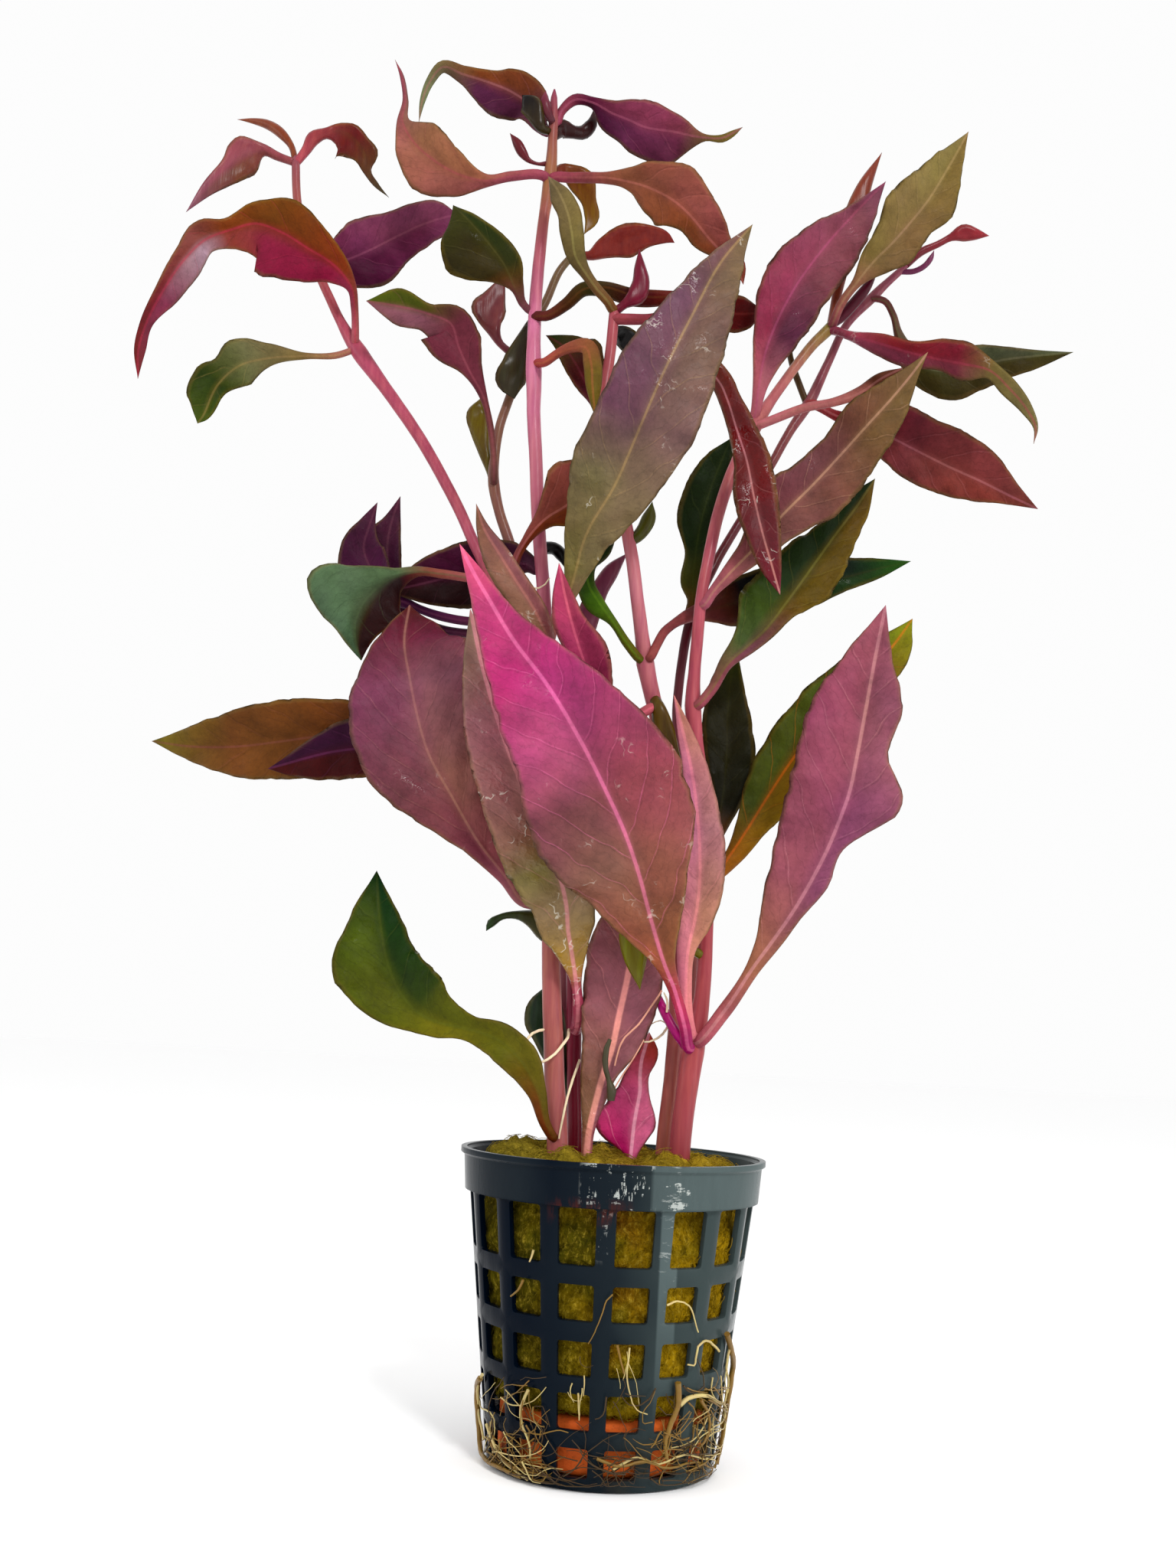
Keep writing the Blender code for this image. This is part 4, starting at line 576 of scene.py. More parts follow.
            (1353, 560, 3, .4, .4), (1350, 580, 3, 0, 0)]},
    "e3_right": {"stem": "e", "rib": "aa7d69",
        "tones": [(0, "be6478"), (.25, "6e3741", "73464b"), (.5, "643c41", "734641"),
                  (.7, "694137", "6e5037"), (1, "6e5a37")],
        "rows": [
            (920, 790, 6, .9, .9), (930, 775, 7, .9, .9), (950, 752, 8, 1.4, 1.4),
            (985, 716, 9, 2.9, 2.7), (1020, 675, 10, 6.1, 4.6), (1060, 635, 9, 4.9, 6.8),
            (1100, 592, 8, 4.3, 6.3), (1135, 553, 8, 5.2, 5.2), (1165, 520, 7, 3.5, 3.6),
            (1190, 490, 7, 1.8, 1.4), (1212, 460, 6, 0, 0)]},
    "e4_right": {"stem": "e", "rib": "645a28",
        "tones": [(0, "a0505a"), (.25, "4b5a32", "784650"), (.5, "28320a", "5a4600"),
                  (1, "28320a", "5a4600")],
        "rows": [
            (910, 922, 5, .9, .9), (930, 900, 5, .9, .9), (950, 868, 6, 1.6, .9),
            (975, 845, 6, 3.3, 1.5), (1000, 822, 5, 7, 1.9), (1025, 790, 3, 7.3, 2.9),
            (1042, 767, 2, 6.6, 5), (1060, 742, 1, 5.9, 5.4), (1090, 700, -1, 3.4, 3.9),
            (1120, 660, -2, 2.6, 2.3), (1143, 625, -3, 0, 0)]},
    "e5_up": {"stem": "e", "rib": "3c3c14",
        "tones": [(0, "784637"), (.3, "282805"), (.8, "323208"), (1, "46501e")],
        "rows": [
            (926, 1135, 2, .9, .9), (932, 1105, 0, .9, .9), (938, 1075, -1, .9, 2),
            (944, 1040, -1.5, 2, 3.7), (949, 990, -2, 3.8, 4.9), (950, 940, -3, 4.2, 4.1),
            (953, 900, -4, 3.5, 2.6), (957, 868, -4.5, 2.3, 1.3), (961, 838, -5, 0, 0)]},
    "e5_right": {"stem": "e", "rib": "c85a0f",
        "tones": [(0, "a05a28"), (.25, "465014", "8c6e00"), (.5, "464b0f", "7d5005"),
                  (.8, "4b5a28", "6e500a"), (1, "8c8c00")],
        "rows": [
            (928, 1148, 4, .9, .9), (955, 1115, 3, 1, 2.2), (975, 1085, 3, 2.2, 2.8),
            (1000, 1045, 2, 4.4, 4.2), (1040, 985, 0, 5.8, 4.6), (1080, 935, -1, 5.8, 5),
            (1125, 885, -2, 4.5, 4.6), (1165, 845, -3, 2.8, 3.6), (1192, 808, -4, 0, 0)]},
    "e6_front": {"stem": "e", "rib": "e673a0",
        "tones": [(0, "b41e78"), (.12, "a8324b"), (.2, "965037", "824b32"), (.38, "82564d", "8f524a"),
                  (.5, "7c4649", "8c424b"), (.62, "b24b72", "9b3b66"), (.74, "b23068", "ae346a"),
                  (.88, "b73e6e", "b23a69"), (1, "dc5a76")],
        "rows": [
            (899, 1368, 7.5, 1, 1), (895, 1345, 10.5, 1, 1), (880, 1290, 12, 1.1, 1.1),
            (868, 1260, 14, 1.6, 1.9), (850, 1200, 16, 6.2, 5.5), (834, 1140, 19, 11, 8.8),
            (817, 1090, 22, 14, 12.1), (790, 1030, 25, 14.5, 13.6), (757, 965, 27, 12.3, 11.4),
            (715, 895, 29, 10.3, 7.5), (670, 835, 28, 6.2, 4.2), (640, 785, 26, 3.4, 2.3),
            (617, 745, 25, 1.4, 1.4), (600, 710, 24, 0, 0)]},
    "e6_behind": {"stem": "e", "rib": "e4828f",
        "tones": [(0, "f08295"), (.3, "c67482", "ba7b68"), (.6, "c6748f", "ba7b82"),
                  (1, "c67482", "c07b68")],
        "rows": [
            (903, 1352, 7, 1, 1), (899, 1335, 8, 1.1, 1), (896, 1290, 9, 1.2, 1),
            (899, 1240, 10, 2, 1.3), (908, 1200, 11, 3, 3.1), (914, 1150, 12, 4, 4.1),
            (914, 1110, 12, 4.2, 4.4), (911, 1065, 11, 3.5, 3.8), (904, 1010, 10, 1.7, 2.9),
            (892, 955, 9, 1, 1.6), (880, 907, 9, 0, 0)]},
    "e6_right": {"stem": "e", "rib": "b4787d",
        "tones": [(0, "be5a73"), (.2, "965f4b"), (.4, "91505a", "8c5064"), (.8, "8c465a", "874b5f"),
                  (1, "9b5560")],
        "rows": [
            (910, 1362, 6, 1.1, 1.1), (945, 1322, 8, 1.2, 1.2), (985, 1262, 10, 1.3, 1.3),
            (1010, 1228, 11, 3.1, 1.6), (1035, 1192, 12, 5.8, 1.8), (1060, 1150, 13, 7.7, 2.9),
            (1085, 1100, 14, 9.5, 2.6), (1097, 1070, 14.5, 10, 5.6), (1108, 1040, 15, 10.3, 9),
            (1120, 985, 15, 10.2, 5.2), (1132, 920, 14, 8.8, 6.1), (1143, 860, 13, 5, 3),
            (1157, 790, 12, 0, 0)]},
    "f1_right": {"stem": "f", "rib": "5a5a3c",
        "tones": [(0, "783c46"), (.35, "4b5037", "3c3714"), (1, "4b5037", "3c3714")],
        "rows": [
            (1142, 390, -18, .6, .6), (1155, 393, -18, .6, .6), (1166, 410, -18, .6, .6),
            (1173, 435, -17.5, .8, .8), (1185, 460, -17, 1.6, 2), (1210, 480, -17, 2.6, 3.7),
            (1240, 485, -16.5, 3.3, 5), (1275, 478, -16, 3.7, 4.4), (1310, 470, -15.5, 2.4, 3.4),
            (1350, 465, -15, 1.1, 2.4), (1402, 460, -15, 0, 0)]},
    "f2_right": {"stem": "f", "rib": "9b5a5f",
        "tones": [(0, "a0464b"), (.2, "5a1419", "64191e"), (.45, "6e3237", "783c3c"),
                  (.8, "7d3c3c", "783732"), (1, "6e3c32")],
        "rows": [
            (1058, 528, -15, .9, .9), (1090, 542, -14, .9, .9), (1130, 557, -13, 2.6, 2.6),
            (1165, 572, -12, 6.2, 4), (1200, 590, -11, 6.1, 5.2), (1240, 610, -10, 6.6, 5),
            (1280, 628, -9, 5.3, 3.8), (1320, 648, -8.5, 2.4, 1.6), (1356, 665, -8, 0, 0)]},
    "f3_left": {"stem": "f", "rib": "3c4619",
        "tones": [(0, "784628"), (.2, "46461e"), (.4, "283214"), (1, "283214")],
        "rows": [
            (902, 800, -7, 1, 1), (905, 785, -7, 1, 1), (905, 765, -7, 2.1, 1.6),
            (909, 720, -7.5, 2, 2.5), (914, 690, -8, 4.2, 3), (926, 645, -7.5, 4.4, 2.9),
            (942, 603, -7, 3, 2.2), (955, 572, -6, 0, 0)]},
    "low_mauve": {"rib": "dc8c82",
        "tones": [(0, "c86e6e"), (.2, "825a41", "8c505a"), (.6, "91555a", "91555f"), (1, "8c505a")],
        "rows": [
            (766, 1508, 6, .9, .9), (769, 1480, 6, 1.2, .9), (778, 1440, 6, 2.6, 1.5),
            (789, 1400, 6, 4.1, 2.4), (799, 1370, 5, 5.2, 4.2), (809, 1325, 5, 6.4, 5.7),
            (820, 1275, 5, 7.2, 6), (829, 1225, 4.5, 7, 5.6), (836, 1180, 4, 4.4, 3.6),
            (840, 1140, 4, 0, 0)]},
    "low_pink": {"rib": "ffb9cd",
        # tones lighter than the leaf's own pink: painted light against the shade it stands in
        "tones": [(0, "b41e50", "d24673"), (.25, "c8286e", "eb6e9b"), (.6, "cd5082", "eb739b"),
                  (.85, "c8505f", "d75050"), (1, "dc5a3c")],
        "rows": [
            (824, 1508, 0, 1.1, 1.1), (826, 1488, 0, 5.2, 2.4), (828, 1470, -.5, 6.6, 3.6),
            (832, 1447, -1, 5.2, 2.8), (836, 1425, -1, 3.9, 1.5), (836, 1405, -1, 2.8, 1.5),
            (838, 1385, -1, 1.6, 2.4), (843, 1367, -1, .9, 2.2), (848, 1348, -1, 0, 0)]},
}


def bladePath(leaf, start):
    # along the midrib: distance, share of the length, point, reach to the left and right,
    # which way is across the blade and which way its front faces, and points across it
    rows = leaf["rows"]
    middle = np.array([spot(*row[:3]) for row in rows])
    if start is not None:
        middle = np.vstack([start, middle])
        rows = [rows[0]] + rows
    near = np.array([(-eye.y - row[2]) / -eye.y for row in rows])
    widths = np.array([row[3:5] for row in rows]) * near[:, None]
    knots = np.concatenate([[0.0], np.cumsum(np.linalg.norm(np.diff(middle, axis=0), axis=1))])
    length = knots[-1]
    count = int(np.clip(length / leafShape["spacing"], 18, 90))
    across = int(np.clip(widths.sum(axis=1).max() / 0.8, 8, 28)) // 2 * 2
    wanted = np.linspace(0.0, length, count + 1)
    wanted[-1] = length * 0.999
    path = smoothPath(knots, middle, wanted)
    wide = np.maximum(smoothPath(knots, widths, wanted), leafShape["tip"])
    wide[-1] = leafShape["tip"]
    along = unit(np.gradient(path, axis=0))
    side = unit(np.cross(along, unit(path - np.array(eye))))
    return wanted, wanted / length, path, wide, side, np.cross(along, side), across


def buildBlade(leaf, seed, start=None):
    # vertices, faces, tones and measures of one closed leaf
    look = leafShape
    wanted, share, path, wide, side, front, across = bladePath(leaf, start)
    total = wide.sum(axis=1)
    flat = np.clip((total - 2.4) / 2.6, 0.0, 1.0)  # 0 on the stalk, 1 on the blade
    stalk = np.where(np.maximum.accumulate(flat) < 1.0, 0.42 * total, 0.12)
    stalk = np.minimum(stalk, 0.95)
    rng = random.Random(seed)
    for k in (0, 1):
        shift = rng.uniform(0.0, 90.0)
        torn = np.array([noise.noise((w / 2.8, shift, 3.0)) + 0.6 * noise.noise((w, shift, 8.0))
                         for w in wanted])
        wide[:, k] *= 1.0 + look["ragged"] * flat * torn
    phase = [rng.uniform(0.0, 2.0 * math.pi) for _ in range(4)]
    marks = np.linspace(-1.0, 1.0, across + 1)
    sideTones = stopTones(leaf["tones"], share)
    middleTones = 0.5 * (sideTones[0] + sideTones[1])
    rib = np.array(linear(leaf.get("rib", leaf["tones"][-1][1])))
    edge = np.array(linear(leafLook["margin"]))
    verts, colours, measure = [], [], []
    for i in range(len(wanted)):
        ring, tint, place = [], [], []
        distance = 2.0 * math.pi * wanted[i]
        for mark in marks:
            k = 0 if mark < 0 else 1  # left or right half
            sign = (1.0, -1.0)[k]
            reach = wide[i, k]
            off = abs(mark) * reach
            wave = math.sin(distance / look["rippleLength"] * (1.0, 1.17)[k] + phase[k])
            wave += 0.6 * math.sin(distance / (look["rippleLength"] * 0.43) + phase[k + 2])
            rise = flat[i] * (off * look["lift"] + look["bow"] * reach * math.sin(math.pi * abs(mark))
                              + look["ripple"] * wave * mark * mark * min(1.0, reach / 5.0))
            sweep = off * leafLook["veinSweep"] + off * off * leafLook["veinBend"]
            turn = (wanted[i] - sweep) / leafLook["veinGap"] + 0.5 * k
            rise += (flat[i] * look["quilt"] * abs(math.sin(math.pi * (turn - 0.5)))
                     * min(1.0, off) * min(1.0, (reach - off) * 1.5 + 0.2))
            point = path[i] + side[i] * (sign * off) + front[i] * rise
            ridge = math.exp(-(off / look["ribWidth"]) ** 2)
            sheet = look["halfSheet"] + 0.25 * ridge * (1.0 - 0.8 * share[i])
            half = flat[i] * sheet + (1.0 - flat[i]) * stalk[i] * math.sqrt(max(0.0, 1.0 - mark * mark))
            if abs(mark) == 1.0:
                half = 0.0
            up = half + flat[i] * look["ribRise"] * ridge * (1.0 - 0.85 * share[i])
            ring.append((point + front[i] * up, point - front[i] * half))
            blend = min(1.0, abs(mark) * 4.0)
            tone = middleTones[i] * (1.0 - blend) + sideTones[k][i] * blend
            tone = tone * (1.0 - ridge * 0.2 * flat[i]) + rib * (ridge * 0.2 * flat[i])
            margin = flat[i] * 0.4 * max(0.0, 1.0 - (reach - off) / 0.6)
            tint.append(tone * (1.0 - margin) + edge * margin)
            place.append((wanted[i], -sign * off, flat[i] * min(1.0, off * 0.8)))
        # the front from left to right, then the back
        order = [(k, 0) for k in range(across + 1)] + [(k, 1) for k in range(across - 1, 0, -1)]
        for k, face in order:
            verts.append(ring[k][face])
            colours.append(tint[k])
            measure.append(place[k])
    ringSize = 2 * across
    faces = ringFaces(len(wanted), ringSize)
    faces.append(tuple(range(ringSize)))
    faces.append(tuple(reversed(range(len(verts) - ringSize, len(verts)))))
    colours = np.maximum(np.array(colours) * leafLook["depth"] - leafLook["haze"], 0.002)
    return np.array(verts) * mm, faces, colours, np.array(measure)


def nearestOnStem(key, point):
    axis = np.array([spot(*row[:3]) for row in stems[key]])
    found = []
    for low, high in zip(axis, axis[1:]):
        step = high - low
        share = np.clip(np.dot(point - low, step) / np.dot(step, step), 0.0, 1.0)
        found.append(low + step * share)
    return min(found, key=lambda place: np.linalg.norm(point - place))


def buildLeaves():
    for number, (key, leaf) in enumerate(leaves.items()):
        first = np.array(spot(*leaf["rows"][0][:3]))
        if "stem" in leaf:
            start = nearestOnStem(leaf["stem"], first)
        else:
            start = first - np.array((0.0, 0.0, 5.0))
        if np.linalg.norm(start - first) < 0.2:
            start = None
        verts, faces, colours, measure = buildBlade(leaf, number, start)
        skin = leafFinish("leaf_" + key, wetness.get(key, wetness["usual"]), leaf["rib"],
                          *ribs.get(key, ribs["usual"]))
        piece = meshObject("leaf_" + key, verts, faces, skin)
        setColours(piece.data, "tone", colours)
        setVectors(piece.data, "blade", measure)
        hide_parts("leaf_" + key)
        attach(piece, "root")
    print("leaves made:", len(leaves))


# Geometry Nodes
class PieceTree:
    # a tree with named inputs, which turns one geometry into another and gives it a material
    def __init__(self, name, inputs):
        self.tree = bpy.data.node_groups.new(name, "GeometryNodeTree")
        for label, kind in [("Geometry", "Geometry"), *inputs, ("Material", "Material")]:
            self.tree.interface.new_socket(label, in_out="INPUT", socket_type="NodeSocket" + kind)
        self.tree.interface.new_socket("Geometry", in_out="OUTPUT", socket_type="NodeSocketGeometry")
        self.given = self.tree.nodes.new("NodeGroupInput").outputs
        self.result = self.tree.nodes.new("NodeGroupOutput").inputs

    def add(self, kind, values=(), settings=None, out=0):
        return addNode(self.tree, kind, settings, values, out)

    def read(self, name):
        return Wire(self.tree, self.given[name])

    def end(self, shape, weld=0.0):
        shape = self.add("GeometryNodeRealizeInstances", {"Geometry": shape})
        if weld:
            shape = self.add("GeometryNodeMergeByDistance", {"Geometry": shape, "Distance": weld * mm})
        shape = self.add("GeometryNodeSetMaterial", {"Geometry": shape, "Material": self.read("Material")})
        self.tree.links.new(shape.socket, self.result["Geometry"])
        return self.tree


def tubeTree():
    # a round tube along each path, as thick as the path's radius says, with a slight wobble
    nodes = PieceTree("tubeOnPath", [("Sides", "Int"), ("Spacing", "Float"), ("Wobble", "Float"),
                                     ("Wobble Size", "Float"), ("Seed", "Float")])
    path = nodes.add("GeometryNodeResampleCurve",
                     {"Curve": nodes.read("Geometry"), "Length": nodes.read("Spacing")}, {"mode": "LENGTH"})
    shift = nodes.add("ShaderNodeTexNoise", {"W": nodes.read("Seed"), "Scale": nodes.read("Wobble Size")},
                      {"noise_dimensions": "4D"}, 1)
    shift = nodes.add("ShaderNodeVectorMath", [shift, (0.5, 0.5, 0.5)], {"operation": "SUBTRACT"})
    shift = nodes.add("ShaderNodeVectorMath", {"Vector": shift, "Scale": nodes.read("Wobble")},
                      {"operation": "SCALE"})
    path = nodes.add("GeometryNodeSetPosition", {"Geometry": path, "Offset": shift})
    ring = nodes.add("GeometryNodeCurvePrimitiveCircle", {"Resolution": nodes.read("Sides"), "Radius": 1.0})
    return nodes.end(nodes.add("GeometryNodeCurveToMesh", {
        "Curve": path, "Profile Curve": ring, "Scale": nodes.add("GeometryNodeInputRadius"),
        "Fill Caps": True}))


def addNodes(thing, name, tree, values):
    modifier = thing.modifiers.new(name, "NODES")
    modifier.node_group = tree
    for item in tree.interface.items_tree:
        if item.in_out == "INPUT" and item.name in values:
            modifier[item.identifier] = values[item.name]


def madePlain(thing, name):
    # the evaluated result as a plain mesh object, without the modifiers
    depsgraph = bpy.context.evaluated_depsgraph_get()
    data = bpy.data.meshes.new_from_object(thing.evaluated_get(depsgraph))
    data.name = name
    bpy.data.objects.remove(thing, do_unlink=True)
    return addObject(name, data)


def tubesOn(name, paths, tree, material, values):
    # paths are lists of (point, radius) in millimetres
    curve = bpy.data.curves.new(name, "CURVE")
    curve.dimensions = "3D"
    for path in paths:
        knots = np.concatenate([[0.0], np.cumsum([
            (Vector(b[0]) - Vector(a[0])).length for a, b in zip(path, path[1:])])])
        wanted = np.linspace(0.0, knots[-1], max(4, int(knots[-1] / 1.5)) + 1)
        points = smoothPath(knots, [tuple(p[0]) for p in path], wanted)
        radii = np.interp(wanted, knots, [p[1] for p in path])
        line = curve.splines.new("POLY")
        line.points.add(len(wanted) - 1)
        for mark, point, radius in zip(line.points, points, radii):
            mark.co = (*(point * mm), 1.0)
            mark.radius = max(radius, 0.02) * mm
    thing = addObject(name, curve)
    addNodes(thing, "tubes", tree, {**values, "Material": material})
    plain = madePlain(thing, name)
    plain.data.polygons.foreach_set("use_smooth", [True] * len(plain.data.polygons))
    return plain


def joined(name, pieces):
    # several meshes as one, with their tones and measures kept, in the first one's material
    shape = bmesh.new()
    for piece in pieces:
        shape.from_mesh(piece.data)
    data = pieces[0].data.copy()
    shape.to_mesh(data)
    shape.free()
    data.name = name
    for piece in pieces:
        bpy.data.objects.remove(piece, do_unlink=True)
    return addObject(name, data)


# stems: picture position, depth and radius from the plug up
stems = {
    "a": [
        (728, 1512, 6, 1.75), (724, 1400, 6, 1.65), (721, 1300, 5, 1.6), (717, 1150, 3, 1.4),
        (705, 1000, 0, 1.2), (690, 870, -3, 1.1), (658, 790, -5, 1.05), (631, 735, -5.5, 1),
        (587, 640, -7.5, 1.05), (550, 575, -9, 1.1), (502, 505, -10, 1.2), (470, 462, -11, 1.6),
        (444, 418, -12, .9), (424, 375, -12, .85), (404, 330, -12, .85), (388, 262, -12, .8),
        (386, 206, -12, .8)],
    "b": [
        (751, 1510, 0, 1.3), (750, 1400, 0, 1.2), (750, 1320, -1, 1.25), (742, 1150, -2, 1.2),
        (730, 1000, -2, 1.2), (716, 850, -3, 1.25), (709, 760, -3, 1.2), (703, 680, -3, 1.2),
        (700, 600, -3, 1.2), (697, 530, -3, 1.25), (697, 482, -3, 1.5), (697, 450, -3, 1.25),
        (699, 408, -4, 1.2), (704, 340, -5, 1.1), (711, 280, -5, 1), (718, 232, -6, 1.25),
        (722, 185, -6, .9), (723, 150, -6, .9), (724, 118, -6, .5)],
    "c": [
        (741, 1512, -6, 1), (739, 1400, -6, 1), (736, 1300, -7, 1), (730, 1100, -8, 1),
        (716, 950, -9, 1), (690, 800, -10, 1), (664, 705, -10.5, 1), (651, 665, -10.5, .95),
        (645, 634, -10.5, 1.1), (647, 590, -11, .85), (652, 560, -11, .85), (665, 520, -12, .85),
        (681, 476, -12.5, .85), (694, 430, -13, .8), (714, 392, -14, .8), (735, 348, -15, .75),
        (757, 325, -15, .7)],
    "d": [
        (866, 1510, 1, 1.35), (876, 1420, 1, 1.35), (883, 1330, 0, 1.3), (884, 1240, -1, 1.3),
        (879, 1120, -1, 1.3), (868, 1000, 1, 1.3), (856, 925, 2, 1.4), (848, 890, 3, 1.45),
        (843, 866, 3, 1.6), (839, 835, 4, 1.25), (832, 780, 5, 1.15), (824, 718, 5, 1.15),
        (812, 660, 5, 1.1), (799, 600, 4, 1.05), (788, 540, 4, 1), (796, 470, 3, .95), (803, 402, 3, .95)],
    "e": [
        (887, 1510, 6, 1.75), (895, 1440, 6, 1.7), (905, 1372, 5, 1.95), (917, 1300, 5, 1.3),
        (922, 1220, 4, 1.2), (924, 1120, 3, 1.15), (918, 1030, 3, 1.15), (909, 965, 4, 1.15),
        (905, 925, 4, 1.45), (907, 880, 4, 1.05), (912, 825, 5, 1.05), (917, 775, 5, 1),
        (928, 715, 4, 1.05), (943, 655, 2, 1.1), (962, 605, 0, 1.15), (986, 556, -2, 1.4),
        (1008, 522, -4, .95), (1038, 480, -6, .9), (1062, 450, -7, .95), (1084, 428, -8, 1.1),
        (1092, 418, -8, .8)],
    "f": [
        (876, 1510, -4, .95), (890, 1400, -4, .95), (907, 1300, -5, .95), (906, 1180, -6, .95),
        (898, 1050, -7, .9), (884, 930, -8, .85), (890, 870, -8, .85), (901, 812, -9, .9),
        (935, 735, -11, .85), (968, 678, -12, .8), (1003, 615, -14, .8), (1031, 565, -15, .85),
        (1056, 527, -16, 1.1), (1081, 475, -17, .8), (1105, 425, -18, .75), (1140, 388, -19, 1),
        (1160, 368, -19, .75), (1186, 345, -19, .65)],
}

# stem tones from the plug to the tip, by the share of the way up
stemTones = {
    "a": [(0, "b1635f"), (.12, "aa5f5a"), (.3, "a55a5a"), (.6, "aa5060"), (.8, "b45064"),
          (.92, "a05541"), (1, "96505a")],
    "b": [(0, "7d1e2d"), (.1, "82283c"), (.2, "8c3246"), (.3, "aa5564"), (.6, "c36e80"), (.75, "d27896"),
          (.83, "be646e"), (.9, "966440"), (1, "8c3c50")],
    "c": [(0, "a0505f"), (.3, "915f64"), (.6, "8c5a50"), (1, "6e5a3c")],
    "d": [(0, "b06250"), (.15, "b4645f"), (.5, "b45f69"), (.65, "be7279"), (.8, "b45f5a"), (1, "aa505a")],
    "e": [(0, "a14649"), (.1, "a84b50"), (.3, "b4505a"), (.6, "b4555f"), (.9, "be6e6e"), (1, "82782d")],
    "f": [(0, "8c5a50"), (.3, "8c5055"), (.55, "501923"), (.75, "824646"), (1, "96505f")],
}

